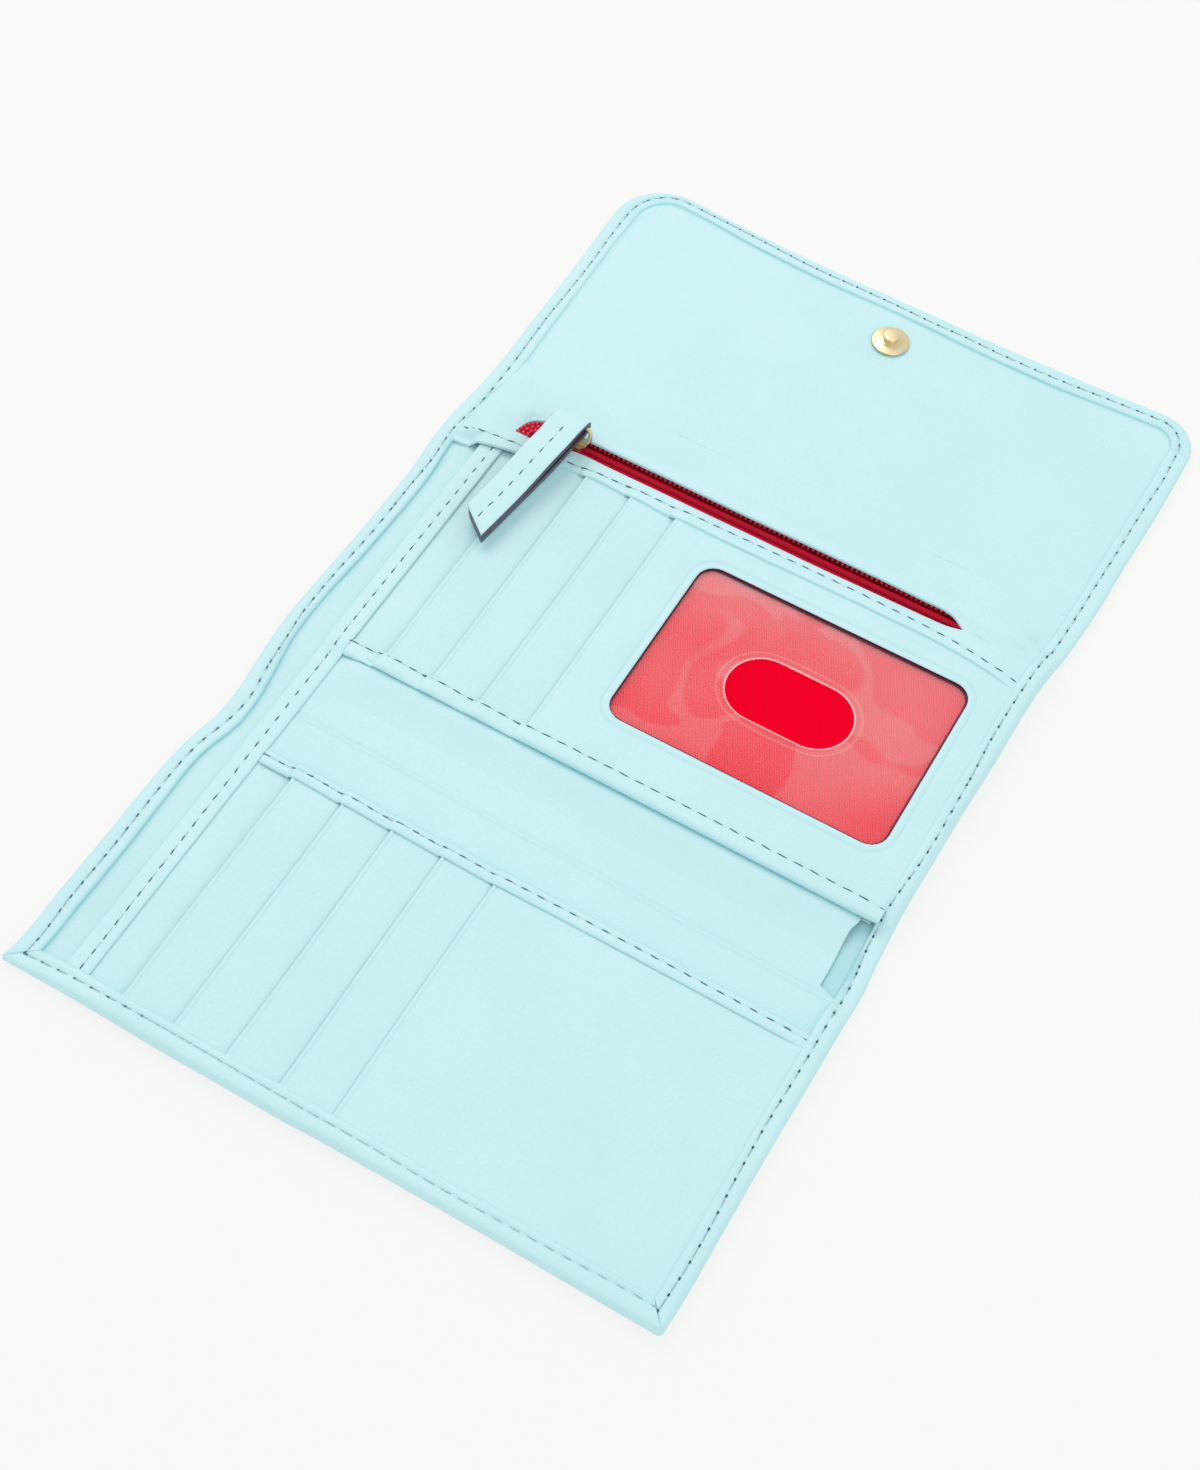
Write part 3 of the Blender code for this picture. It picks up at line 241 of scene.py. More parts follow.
SEAM_INSET = {
    -1: follow([
        (-158.0, 3.8), (-150.0, 3.8), (-140.0, 3.6), (-120.0, 3.6), (-105.0, 3.4), (-90.0, 3.2), (-80.0, 3.4),
        (-70.0, 4.1), (-60.0, 3.6), (-50.0, 3.6), (-40.0, 3.0), (-30.0, 2.8), (-10.0, 3.1), (10.0, 3.0),
        (20.0, 3.6), (30.0, 3.4), (40.0, 4.1), (50.0, 3.6), (60.0, 3.4), (80.0, 3.2), (100.0, 3.6),
        (120.0, 3.6), (130.0, 3.9),
    ]),
    1: follow([
        (-158.0, 3.3), (-150.0, 3.2), (-140.0, 2.8), (-130.0, 2.8), (-120.0, 3.2), (-110.0, 3.4),
        (-80.0, 3.2), (-60.0, 3.4), (-45.0, 3.6), (-37.0, 3.0), (-29.0, 2.4), (-5.0, 2.4), (3.0, 2.8),
        (11.0, 3.4), (19.0, 3.4), (35.0, 3.2), (50.0, 3.4), (58.0, 3.6), (70.0, 3.8), (82.0, 3.6),
        (106.0, 3.6), (114.0, 3.2), (124.0, 3.5),
    ]),
}
FLAP_HEM = follow([
    (-72.0, 4.2), (-60.0, 4.2), (-50.0, 4.6), (-40.0, 4.8), (-20.0, 5.2), (0.0, 5.0), (10.0, 5.2),
    (20.0, 5.6), (30.0, 5.8), (40.0, 6.0), (50.0, 6.2), (60.0, 5.8), (75.0, 5.4),
])
FLAP_SEAM = follow([
    (-72.0, 1.9), (-40.0, 2.0), (-30.0, 2.4), (-10.0, 2.4), (0.0, 2.6), (10.0, 3.0), (20.0, 2.8), (30.0, 3.2),
    (50.0, 3.4), (60.0, 3.0), (75.0, 2.8),
])
FRONT_SEAM = follow([
    (-82.0, 3.4), (-65.0, 3.6), (-35.0, 3.8), (-15.0, 3.6), (15.0, 3.6), (25.0, 3.4), (45.0, 3.6),
    (55.0, 3.8), (65.0, 4.0), (75.0, 4.3), (82.0, 4.2),
])


def side_edge(side, y):
    """Where the shell's side edge lies; side is -1 at the left and 1 at the right."""
    return (LEFT_EDGE if side < 0 else RIGHT_EDGE)(y)


def hem_inside(side, y):
    """Where the side hem's inner edge lies."""
    return side_edge(side, y) - side * HEM_WIDTH[side](y)


def curl(x, y):
    """How far the flap's far corners lift off the table."""
    left = smoothstep(-40.0, -86.0, x) * smoothstep(96.0, 139.0, y) * 0.6
    right = smoothstep(60.0, 90.0, x) * smoothstep(110.0, 138.0, y) * 0.5
    return left + right


def hem_top(side, y):
    """Height of the turned hem: it stands over the pockets and sinks at the creases."""
    y = np.asarray(y, float)
    if side < 0:
        return np.full_like(y, Z_FOLD)
    front = (span("front_cover")[1][2] - Z_FOLD) * smoothstep(Y_FRONT_CREASE - 0.4, Y_FRONT_CREASE - 5.0, y)
    back = (span("back_cover")[1][2] - Z_FOLD) * smoothstep(Y_SPINE_CREASE + 0.6, Y_SPINE_CREASE + 6.0, y)
    return Z_FOLD + front + back * smoothstep(Y_FLAP_CREASE - 0.6, Y_FLAP_CREASE - 6.5, y)


def pocket_top(x, first, pitch, count, low, last_top):
    """Height of the shingled slots' upper side across the row, with the last panel beside them."""
    x = np.asarray(x, float)
    rise = 0.8 + 0.8 * 5.0 / pitch
    top = np.full_like(x, low)
    for index in range(count):
        mouth = first + index * pitch
        inside = x >= mouth
        top = np.where(inside, low + 0.5 + rise * np.clip(1 - (x - mouth) / (pitch + 0.3), 0, 1), top)
    return np.where(x >= first + count * pitch, last_top, top)


FRONT_PITCH = (X_FRONT_POCKET - X_SLOT) / 4
BACK_PITCH = (X_WINDOW_PANEL - X_SLOT) / 3


def front_top(x):
    return pocket_top(x, X_SLOT, FRONT_PITCH, 4, Z_FRONT_SLOTS, 4.1)


def back_top(x):
    return pocket_top(x, X_SLOT, BACK_PITCH, 3, Z_BACK_SLOTS, 5.4)


def draped(height, x, reach=0.9):
    """A height as a sheet of leather lying over it would follow it."""
    offsets = np.linspace(-reach, reach, 9)
    stack = np.array([height(np.asarray(x, float) + offset) for offset in offsets])
    return stack.max(axis=0) * 0.5 + stack.mean(axis=0) * 0.5


def groove(distance, depth, width=0.45):
    """A pressed line: how far the surface sinks at a distance from its middle."""
    return depth * np.exp(-(np.asarray(distance, float) / width) ** 2)


def ripple(x, y, seed, amount=0.08, wave=34.0):
    """The slight unevenness of leather that has been handled."""
    x = np.asarray(x, float) / wave
    y = np.asarray(y, float) / wave
    a = np.sin(5.1 * x + 2.3 * y + seed) * np.cos(3.7 * y - 1.9 * x + 1.7 * seed)
    b = np.sin(9.7 * y + 4.1 * x + 2.9 * seed) * 0.5
    return amount * (a + b) / 1.5


def steps(low, high, size, ends=(), fine=0.4, reach=3.0):
    """Even places from low to high, closer together around the places in ends."""
    places = list(np.linspace(low, high, max(2, int(round((high - low) / size)) + 1)))
    for middle in ends:
        places.extend(np.arange(middle - reach, middle + reach + 1e-6, fine))
    places = np.array(sorted(place for place in places if low <= place <= high))
    keep = np.concatenate([[True], np.diff(places) > fine * 0.45])
    keep[-1] = True
    return places[keep]


def across(width, inner=1.2, rounding=0.35):
    """Distances across a strip, closer together at its two rounded edges."""
    edge = rounding * (1 - np.cos(np.radians([0, 25, 45, 65, 90])))
    count = max(2, int(round((width - 2 * rounding) / inner)) + 1)
    middle = np.linspace(rounding, width - rounding, count)[1:-1]
    return np.concatenate([edge, middle, width - edge[::-1]])


def edge_fall(distance, radius):
    inside = np.clip(radius - distance, 0.0, radius)
    return radius - np.sqrt(np.maximum(radius ** 2 - inside ** 2, 0.0))


# Meshes

class Shape:
    """Gathers closed shells in millimetres and makes one object of them."""

    def __init__(self):
        self.points = []
        self.faces = []
        self.kinds = []
        self.total = 0

    def add(self, points, faces, kind=0):
        """Takes points with or without a fourth number of painted light (painted shade; on the film, a
        painted highlight); kind is a material's number, or one for each face.
        """
        points = np.asarray(points, float)
        points = points.reshape(-1, points.shape[-1])
        if points.shape[1] == 3:
            points = np.concatenate([points, np.zeros((len(points), 1))], axis=1)
        self.points.append(points)
        self.faces.extend([tuple(index + self.total for index in face) for face in faces])
        self.kinds.extend([kind] * len(faces) if isinstance(kind, int) else kind)
        self.total += len(points)

    def loft(self, rings, closed=False, kind=0):
        """Joins closed rings of points one after the other, with flat ends unless closed."""
        rings = np.asarray(rings, float)
        count, size = rings.shape[:2]
        faces = []
        for i in range(count if closed else count - 1):
            here, there = i * size, ((i + 1) % count) * size
            for j in range(size):
                k = (j + 1) % size
                faces.append((here + j, here + k, there + k, there + j))
        if not closed:
            faces.append(tuple(range(size - 1, -1, -1)))
            faces.append(tuple((count - 1) * size + j for j in range(size)))
        self.add(rings, faces, kind)

    def sandwich(self, upper, lower, keep=None, hidden_kind=0):
        """A closed sheet between two grids of points; keep masks cells, hidden_kind is for the rest."""
        rows, columns = upper.shape[:2]
        if keep is None:
            keep = np.ones((rows - 1, columns - 1), bool)
        points = np.concatenate([upper.reshape(-1, upper.shape[-1]), lower.reshape(-1, lower.shape[-1])])
        under = rows * columns
        faces, kinds = [], []

        def filled(i, j):
            return 0 <= i < rows - 1 and 0 <= j < columns - 1 and keep[i, j]

        for i, j in zip(*np.nonzero(keep)):
            a, b = int(i * columns + j), int((i + 1) * columns + j)
            c, d = b + 1, a + 1
            faces += [(a, b, c, d), (d + under, c + under, b + under, a + under)]
            kinds += [0, hidden_kind]
            walls = (((b, a), (i, j - 1)), ((d, c), (i, j + 1)), ((a, d), (i - 1, j)), ((c, b), (i + 1, j)))
            for (p, q), beyond in walls:
                if not filled(*beyond):
                    faces.append((p, q, q + under, p + under))
                    kinds.append(hidden_kind)
        used = sorted({index for face in faces for index in face})
        place = {index: number for number, index in enumerate(used)}
        self.add(points[used], [tuple(place[index] for index in face) for face in faces], kinds)

    def slab(self, x, y, top, bottom, keep=None, fold=0.0):
        """A sandwich from one grid of places and two heights; fold paints shade on its top."""
        self.sandwich(
            np.stack([x, y, top, fold + 0 * x], axis=-1), np.stack([x, y, bottom, 0 * x], axis=-1), keep)

    def piece(self, name, *materials, angle=42.0):
        """One object of all the shells, smooth up to the given angle between faces."""
        mesh = bpy.data.meshes.new(name)
        points = np.concatenate(self.points)
        mesh.from_pydata((points[:, :3] * MM).tolist(), [], self.faces)
        mesh.polygons.foreach_set("material_index", self.kinds)
        # The fold attribute carries painted light: shade on the leather, a highlight on the film.
        tone = mesh.attributes.new("fold", "FLOAT", "POINT")
        tone.data.foreach_set("value", np.ascontiguousarray(points[:, 3], np.float32))
        work = bmesh.new()
        work.from_mesh(mesh)
        bmesh.ops.recalc_face_normals(work, faces=work.faces)
        work.to_mesh(mesh)
        work.free()
        for surface in materials:
            mesh.materials.append(surface)
        mesh.shade_smooth()
        mesh.set_sharp_from_angle(angle=math.radians(angle))
        piece = bpy.data.objects.new(name, mesh)
        bpy.context.scene.collection.objects.link(piece)
        return piece


def strip(
    shape, along, low, high, top, thickness, rounding=0.3, inner=1.2, lengthwise="y", bottom=None, close=(),
    fold=None, hole=None,
):
    """A sheet that runs lengthwise, between two edges that may curve.

    low, high: edge places as functions of the lengthwise place. top: height at (x, y).
    close: further distances from both edges. fold: depth of painted shade at (x, y). hole: x, y and half
    width.
    """
    if hole:
        along = np.unique(np.round(np.concatenate([along, [hole[1] - hole[2], hole[1] + hole[2]]]), 4))
    edge_low = np.asarray(low(along), float) * np.ones_like(along)
    edge_high = np.asarray(high(along), float) * np.ones_like(along)
    width = float(np.mean(edge_high - edge_low))
    near_edges = np.array(close, float) / width
    share = np.concatenate([across(width, inner, rounding) / width, near_edges, 1 - near_edges])
    share = np.unique(np.round(share, 6))
    if hole:
        left, right = float(low(hole[1])), float(high(hole[1]))
        cuts = (np.array([hole[0] - hole[2], hole[0] + hole[2]]) - left) / (right - left)
        share = np.unique(np.round(np.concatenate([share, cuts]), 6))
    side = edge_low[:, None] + (edge_high - edge_low)[:, None] * share[None, :]
    run = np.repeat(along[:, None], len(share), axis=1)
    x, y = (side, run) if lengthwise == "y" else (run, side)
    near = np.minimum(share, 1 - share)[None, :] * (edge_high - edge_low)[:, None]
    height = top(x, y)
    under = height - thickness if bottom is None else bottom(x, y)
    keep = None
    if hole:
        off_x = np.abs((x[:-1, :-1] + x[1:, 1:]) / 2 - hole[0])
        off_y = np.abs((y[:-1, :-1] + y[1:, 1:]) / 2 - hole[1])
        keep = ~((off_x < hole[2]) & (off_y < hole[2]))
    shape.slab(x, y, height - edge_fall(near, rounding), under, keep, fold(x, y) if fold else 0.0)


# Materials

BUMP_HEIGHT = 0.0001
TWILL_SLANT = math.radians(-27.8)


def calculate(tree, operation, *values):
    made = add_node(tree, "ShaderNodeMath", [("operation", operation)])
    for socket, value in zip(made.inputs, values):
        plug(socket, value)
    return made.outputs[0]


def noise(tree, place, scale, **inputs):
    return add_node(tree, "ShaderNodeTexNoise", Vector=place, Scale=scale, **inputs).outputs["Fac"]


def ribs_or_bands(tree, place, scale, direction="X", **inputs):
    settings = [("bands_direction", direction)]
    return add_node(tree, "ShaderNodeTexWave", settings, Vector=place, Scale=scale, **inputs).outputs["Fac"]


def add_bump(tree, shader, height, strength, **inputs):
    made = add_node(tree, "ShaderNodeBump", Height=height, Strength=strength, **inputs)
    plug(shader.inputs["Normal"], made.outputs["Normal"])


def painted_light_attribute(tree):
    """The painted light that a mesh carries at its points: shade on leather, a highlight on the film."""
    return add_node(tree, "ShaderNodeAttribute", [("attribute_name", "fold")]).outputs["Fac"]


def new_material(name, kind="ShaderNodeBsdfPrincipled"):
    made = bpy.data.materials.new(name)
    made.use_nodes = True
    tree = made.node_tree
    tree.nodes.clear()
    shader = tree.nodes.new(kind)
    add_node(tree, "ShaderNodeOutputMaterial", Surface=shader.outputs[0])
    return made, tree, shader


def plug(socket, value):
    """Links a node's output into a socket, or else sets the socket's own value."""
    if isinstance(value, bpy.types.NodeSocket):
        socket.id_data.links.new(value, socket)
    else:
        socket.default_value = value


def set_inputs(node, **inputs):
    """Fills a node's inputs by name, where an underscore stands for a space."""
    for key, value in inputs.items():
        plug(node.inputs[key.replace("_", " ")], value)


def add_node(tree, kind, settings=(), **inputs):
    made = tree.nodes.new(kind)
    for key, value in settings:
        setattr(made, key, value)
    set_inputs(made, **inputs)
    return made


def once(make):
    """Makes a material under its name the first time, and finds it after that."""
    def find_or_make(name, *settings):
        return bpy.data.materials.get(name) or make(name, *settings)
    return find_or_make


def mix_colour(tree, factor, first, second):
    made = add_node(tree, "ShaderNodeMix", [("data_type", "RGBA")])
    for number, value in ((0, factor), (6, first), (7, second)):
        plug(made.inputs[number], (*value, 1.0) if isinstance(value, list) else value)
    return made.outputs[2]


def shade_of(colour, *shares):
    return [channel * share for channel, share in zip(colour, shares)]


def object_place(tree, turn=0.0):
    place = tree.nodes.new("ShaderNodeTexCoord").outputs["Object"]
    return add_node(tree, "ShaderNodeMapping", Vector=place, Rotation=(0.0, 0.0, turn)).outputs["Vector"]


def remap(tree, value, low, high, start=0.0, end=1.0):
    made = add_node(
        tree, "ShaderNodeMapRange", Value=value, From_Min=low, From_Max=high, To_Min=start, To_Max=end)
    return made.outputs["Result"]


@once
def leather(name, tint=1.0):
    """Fine pebbled leather: grain, soft mottling, and painted shade in creases, recesses and under edges from
    the mesh's fold attribute.
    """
    made, tree, shader = new_material(name)
    base = [min(1.0, channel * tint) for channel in colours().leather]
    mottle_and_shade = [channel * tint for channel in colours().leather_deep_and_shade]
    place = object_place(tree)
    size = sizes().grain_size
    pebbles = add_node(
        tree, "ShaderNodeTexVoronoi", [("feature", "SMOOTH_F1")],
        Vector=place, Scale=1.0 / size, Smoothness=0.6).outputs["Distance"]
    pores = noise(tree, place, 0.45 / size, Detail=5.0)
    cloud = noise(tree, place, 42.0, Detail=3.0)
    mottled = mix_colour(tree, remap(tree, cloud, 0.35, 0.75, 0.0, 0.10), base, mottle_and_shade)
    pored = mix_colour(tree, remap(tree, pebbles, 0.25, 0.75, 0.0, 0.07), mottled, mottle_and_shade)
    add_bump(tree, shader, calculate(tree, "ADD", pebbles, pores), 0.30, Distance=BUMP_HEIGHT)
    # Painted shade: the mesh's fold attribute mixes the colour towards the darker tone.
    set_inputs(
        shader, Base_Color=mix_colour(tree, painted_light_attribute(tree), pored, mottle_and_shade),
        Roughness=remap(tree, pores, 0.3, 0.7, 0.44, 0.58), Specular_IOR_Level=0.42)
    return made


@once
def thread(name, colour):
    """Twisted sewing thread: fine diagonal plies across a soft sheen."""
    made, tree, shader = new_material(name)
    plies = ribs_or_bands(tree, object_place(tree, 0.9), 900.0, Distortion=1.5)
    add_bump(tree, shader, plies, 0.4, Distance=BUMP_HEIGHT / 2)
    dark = [channel * 0.7 for channel in colour]
    set_inputs(shader, Base_Color=mix_colour(tree, plies, dark, list(colour)), Roughness=0.6)
    return made


def rib_scale(pitch_share=1.0):
    """The wave texture's scale for the cloth's ribs: 20 of its units make a full turn."""
    return math.tau / 20.0 / (sizes().twill_pitch * pitch_share)


@once
def twill(name, pitch_share=1.0, tint=1.0, pink=0.0):
    """Ribbed red cloth: slanted ribs with a finer thread across them."""
    made, tree, shader = new_material(name)
    cloth = [channel * tint + extra for channel, extra in zip(colours().cloth, (0.0, 0.5 * pink, pink))]
    shade = [channel * 0.88 for channel in cloth]
    place = object_place(tree, TWILL_SLANT)
    ribs = ribs_or_bands(tree, place, rib_scale(pitch_share), Distortion=0.6, Detail_Scale=1.5)
    speck = noise(tree, place, 2600.0)
    ribbed = mix_colour(tree, remap(tree, ribs, 0.0, 0.8, 0.8, 0.0), cloth, shade)
    worn = mix_colour(tree, remap(tree, noise(tree, place, 60.0), 0.35, 0.7, 0.0, 0.12), ribbed, shade)
    add_bump(tree, shader, calculate(tree, "MULTIPLY_ADD", speck, 0.3, ribs), 0.35, Distance=BUMP_HEIGHT)
    set_inputs(shader, Base_Color=worn, Roughness=0.9, Specular_IOR_Level=0.02)
    return made


@once
def nylon(name, tint):
    """Glossy dark red coil, speckled with painted pink highlights."""
    made, tree, shader = new_material(name)
    coil = [min(1.0, channel * tint) for channel in colours().coil]
    painted_highlight = [min(1.0, channel * 1.6 + 0.03 * tint) for channel in coil]
    # Noise scatters painted pink highlights over the coil's colour.
    speck = noise(tree, object_place(tree), 700.0)
    set_inputs(shader, Base_Color=mix_colour(tree, speck, coil, painted_highlight), Roughness=0.28, Coat_Weight=0.3)
    return made


def film():
    """Thin clear plastic with an uneven milky veil, denser towards the flap, and painted highlights where the
    mesh's fold attribute gives them.
    """
    made, tree, shader = new_material("clear_film")
    place = object_place(tree)
    veil = remap(tree, noise(tree, place, 26.0, Detail=2.0), 0.3, 0.7, 0.0, 0.05)
    patches = noise(tree, place, 34.0, Detail=1.0, Distortion=1.2)
    ribs = ribs_or_bands(tree, object_place(tree, TWILL_SLANT), rib_scale())
    clinging = remap(tree, patches, 0.52, 0.545, 0.0, 0.035)
    # The fold attribute adds painted highlights to the veil.
    for part in (clinging, remap(tree, ribs, 0.0, 1.0, 0.0, 0.035), painted_light_attribute(tree)):
        veil = calculate(tree, "ADD", veil, part)
    apart = add_node(tree, "ShaderNodeSeparateXYZ", Vector=place)
    for axis, share in (("X", -0.10), ("Y", 1.8)):
        veil = calculate(tree, "MULTIPLY_ADD", apart.outputs[axis], share, veil)
    add_bump(tree, shader, noise(tree, place, 320.0), 0.12, Distance=BUMP_HEIGHT)
    set_inputs(
        shader, Alpha=remap(tree, veil, 0.0, 1.0, 0.045, 1.045), Base_Color=(0.96, 0.92, 0.93, 1.0),
        Roughness=0.22, Specular_IOR_Level=0.25)
    return made


def plum_edge():
    """The window's cut inner edge and a thin ring inside it, dark plum: part the edge's own colour, part
    painted shadow under the leather's edge, with faint wear.
    """
    made, tree, shader = new_material("plum_edge")
    wear = noise(tree, object_place(tree), 240.0)
    stain = mix_colour(tree, wear, [0.070, 0.003, 0.020], [0.125, 0.006, 0.035])
    set_inputs(shader, Base_Color=stain, Roughness=0.55)
    return made


@once
def plated(name):
    """Pale gold plating with faint polishing marks and soft diagonal bands of painted dark reflection."""
    made, tree, shader = new_material(name)
    place = object_place(tree)
    marks = noise(tree, place, 900.0)
    gold = list(colours().gold)
    polished = mix_colour(tree, marks, gold, shade_of(gold, 0.9, 0.84, 0.72))
    # Painted reflections: diagonal bands darken the gold as if dark surroundings mirrored in it.
    bands = ribs_or_bands(tree, place, 120.0, "DIAGONAL", Distortion=2.5)
    with_painted_reflections = mix_colour(
        tree, remap(tree, bands, 0.5, 0.95, 0.0, 0.8), polished, shade_of(gold, 0.42, 0.30, 0.20))
    set_inputs(shader, Base_Color=with_painted_reflections, Roughness=remap(tree, marks, 0.3, 0.7, 0.14, 0.24), Metallic=1.0)
    return made


def edge_paint():
    """Slate edge paint over cut leather, uneven and slightly glossy."""
    made, tree, shader = new_material("edge_paint")
    cloud = noise(tree, object_place(tree), 450.0)
    paint = list(colours().edge_paint)
    add_bump(tree, shader, cloud, 0.3, Distance=BUMP_HEIGHT)
    colour = mix_colour(tree, cloud, paint, shade_of(paint, 1.6, 0.9, 1.1))
    set_inputs(shader, Base_Color=colour, Roughness=0.42)
    return made


# Riding on the frame, or baked in place

def carry(piece, body, slot, *nodes):
    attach(piece, body)
    if nodes:
        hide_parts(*nodes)
    return piece


def bend(piece, pair, slot, *nodes):
    """Hides the nodes that the sheet replaces and bakes its place into its mesh."""
    if nodes:
        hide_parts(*nodes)
    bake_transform(piece)
    return piece


# Shell

def painted_hem_shade(side, y):
    """Painted shade on the hem's inner half where it is gathered or lies in a recess."""
    if side < 0:
        places = ((44.5, 3.0, 0.45), (26.5, 2.5, 0.30), (-63.0, 7.0, 0.20))
    else:
        places = ((-59.0, 8.5, 0.50), (43.0, 3.0, 0.20))
    return sum(share * math.exp(-((y - middle) / reach) ** 2) for middle, reach, share in places)


def hem_ring(outer, inner, top, width, seam, sink=0.0, tone=0.0, inner_painted_shade=0.0):
    """One section of the turned hem, from its outer fold to its inner edge.

    seam: how far in the stitches lie. sink, tone: depth of a pleat and of the shade painted in it.
    inner_painted_shade: painted shade between the stitches and the inner edge.
    """
    outer = np.array(outer, float)
    inner = np.array(inner, float)
    bulge = min(1.35, top * 0.42)
    width, seam = float(width), float(seam)
    profile = [(width, 0.0, 0.0), (seam + 0.5, 0.0, 0.0), (seam, 0.10, 0.0), (seam - 0.5, 0.0, 0.0)]
    for angle in (-90, -66, -42, -20, 0, 20, 42, 66, 90):
        turn = math.radians(angle)
        height = top / 2 * (1 + math.copysign(abs(math.sin(turn)) ** 0.85, turn))
        profile.append((bulge * (1 - math.cos(turn) ** 0.8), height, 0.0))
    crown = top + 0.10
    both = tone + inner_painted_shade
    # Painted shade in the stitch groove, on the inner half and at the inner edge's foot, where the hem steps
    # down.
    profile += [
        (max(seam - 0.75, bulge + 0.05), crown, tone), (seam - 0.3, top - 0.06, 0.12 + tone),
        (seam, top - 0.12, 0.25 + tone), (seam + 0.3, top - 0.06, 0.12 + both), (seam + 0.8, crown, both),
        (width - 0.9, top + 0.04, both), (width - 0.35, top - 0.05, 0.10 + both),
        (width - 0.08, top - 0.3, 0.35 + both), (width, min(top - 0.5, Z_SHELL + 0.3), 0.6),
    ]
    ring = []
    for distance, height, shade in profile:
        place = outer + (inner - outer) * distance / width
        ring.append((place[0], place[1], height - sink * (height > top * 0.6), shade))
    return ring


def side_hem_height(side, y):
    """Height of the side hem at one place, with its slight unevenness."""
    return float(hem_top(side, y)) + float(ripple(side_edge(side, y), y, 1.0 + side, 0.06))


def side_ring(side, y, inner=None):
    return hem_ring(
        (float(side_edge(side, y)), y), inner or (float(hem_inside(side, y)), y), side_hem_height(side, y),
        HEM_WIDTH[side](y), SEAM_INSET[side](y), inner_painted_shade=painted_hem_shade(side, y))


def socket_hole():
    """The hole through the front panel behind the snap's socket."""
    low, high = span("snap_socket")
    return float(low[0] + high[0]) / 2, float(low[1] + high[1]) / 2, 2.9


def panel_sheet(shape, y_from, y_to, y_step=3.0, creases=(), hole=None):
    """The shell's single layer between the hems."""
    along = steps(y_from, y_to, y_step, creases)
    strip(
        shape, along, lambda y: hem_inside(-1, y) - 1.5, lambda y: hem_inside(1, y) + 1.5,
        constant(Z_SHELL - 0.02), Z_SHELL - 0.04, rounding=0.05, inner=8.0, hole=hole,
    )


def front_hem_height(x):
    """Height of the front hem: it stands over the pockets, sinks at the left and is slightly uneven."""
    left = float(LEFT_EDGE(Y_FRONT_EDGE))
    rise = (span("front_cover")[1][2] - Z_FOLD) * smoothstep(left + 2.0, left + 20.0, x)
    return float(Z_FOLD + rise) + float(ripple(x, Y_FRONT_EDGE, 0.3, 0.06))


def flap_hem_height(x, y):
    return Z_FOLD + float(ripple(x, y, 2.2, 0.07))


def front_shell():
    """Front panel and half the spine: three hems with mitred corners."""
    shape = Shape()
    edge, reach = Y_FRONT_EDGE, Y_FRONT_EDGE + FRONT_HEM
    ends = {side: float(side_edge(side, edge)) for side in (-1, 1)}
    mitres = {side: float(hem_inside(side, reach)) for side in (-1, 1)}
    radius = 0.9
    side_places = steps(edge + radius, Y_IN_SPINE, 3.2, [Y_FRONT_CREASE, edge + 3.5], fine=0.7)[::-1]

    def beside(side, y):
        inside = float(hem_inside(side, max(y, reach)))
        return side_ring(side, y, (inside, max(y, reach + 0.003 * (y - edge))))

    def round_corner(side, angle, top, seam, sink, tone):
        turn, folded = math.radians(angle), angle == 45
        outer = (
            ends[side] - side * radius + side * radius * math.cos(turn),
            edge + radius - radius * math.sin(turn))
        inner = (mitres[side] - side * 0.0005 * angle, reach)
        # At the 45° mitre the hem sinks into a crease and takes painted shade there.
        return hem_ring(outer, inner, top, FRONT_HEM, seam, sink * folded, tone * folded)

    rings = [beside(-1, y) for y in side_places]
    rings += [round_corner(-1, angle, Z_FOLD, 3.6, 0.3, 0.4) for angle in (22, 45, 68)]
    low, high = ends[-1], ends[1]
    for x in steps(low + radius, high - radius, 3.2, [low + 3.5, high - 3.5], fine=0.7):
        inner_x = min(max(x, mitres[-1] + 0.04), mitres[1] - 0.04)
        inner_x += 0.003 * (x - inner_x)
        wave = 0.2 * math.sin(x / 6.3) * math.sin(x / 17.0) if mitres[-1] < x < mitres[1] else 0.0
        bulge = 0.5 * float(smoothstep(-60.0, -30.0, x) * smoothstep(0.0, -20.0, x))
        outer_y = max(edge + 0.15 * math.sin(x / 19.0) - bulge, edge - 0.3)
        rings.append(hem_ring(
            (x, outer_y), (inner_x, reach + wave), front_hem_height(x), FRONT_HEM, FRONT_SEAM(x)))
    top = float(span("front_cover")[1][2])
    rings += [round_corner(1, angle, top, 4.0, 0.35, 0.6) for angle in (68, 45, 22)]
    rings += [beside(1, y) for y in side_places[::-1]]
    shape.loft(rings)
    panel_sheet(shape, reach - 1.5, Y_IN_SPINE, creases=[Y_FRONT_CREASE], hole=socket_hole())
    return bend(
        shape.piece("shell_front", leather("mint_leather")), ("front", "spine"), "shell_leather",
        "front_cover", "spine_cover")


def straight_shell(name, y_from, y_to, crease, pair, *nodes):
    shape = Shape()
    places = steps(y_from, y_to, 3.2, [crease], fine=0.6)
    for side in (-1, 1):
        shape.loft([side_ring(side, y) for y in places])
    panel_sheet(shape, y_from, y_to, creases=[crease])
    return bend(shape.piece(name, leather("mint_leather")), pair, "shell_leather", *nodes)


def flap_corner(side):
    """Centre and radius of one rounded far corner of the flap."""
    centre_x = float(side_edge(side, 126.0)) - side * FLAP_RADIUS[side]
    return centre_x, float(FLAP_EDGE(centre_x)) - FLAP_RADIUS[side]


def flap_side(side, y):
    """The flap's side, eased so that it meets its rounded corner."""
    centre_x, centre_y = flap_corner(side)
    shift = (centre_x + side * FLAP_RADIUS[side]) - float(side_edge(side, centre_y))
    return side_edge(side, y) + shift * smoothstep(Y_IN_BRIDGE + 20, centre_y, y)


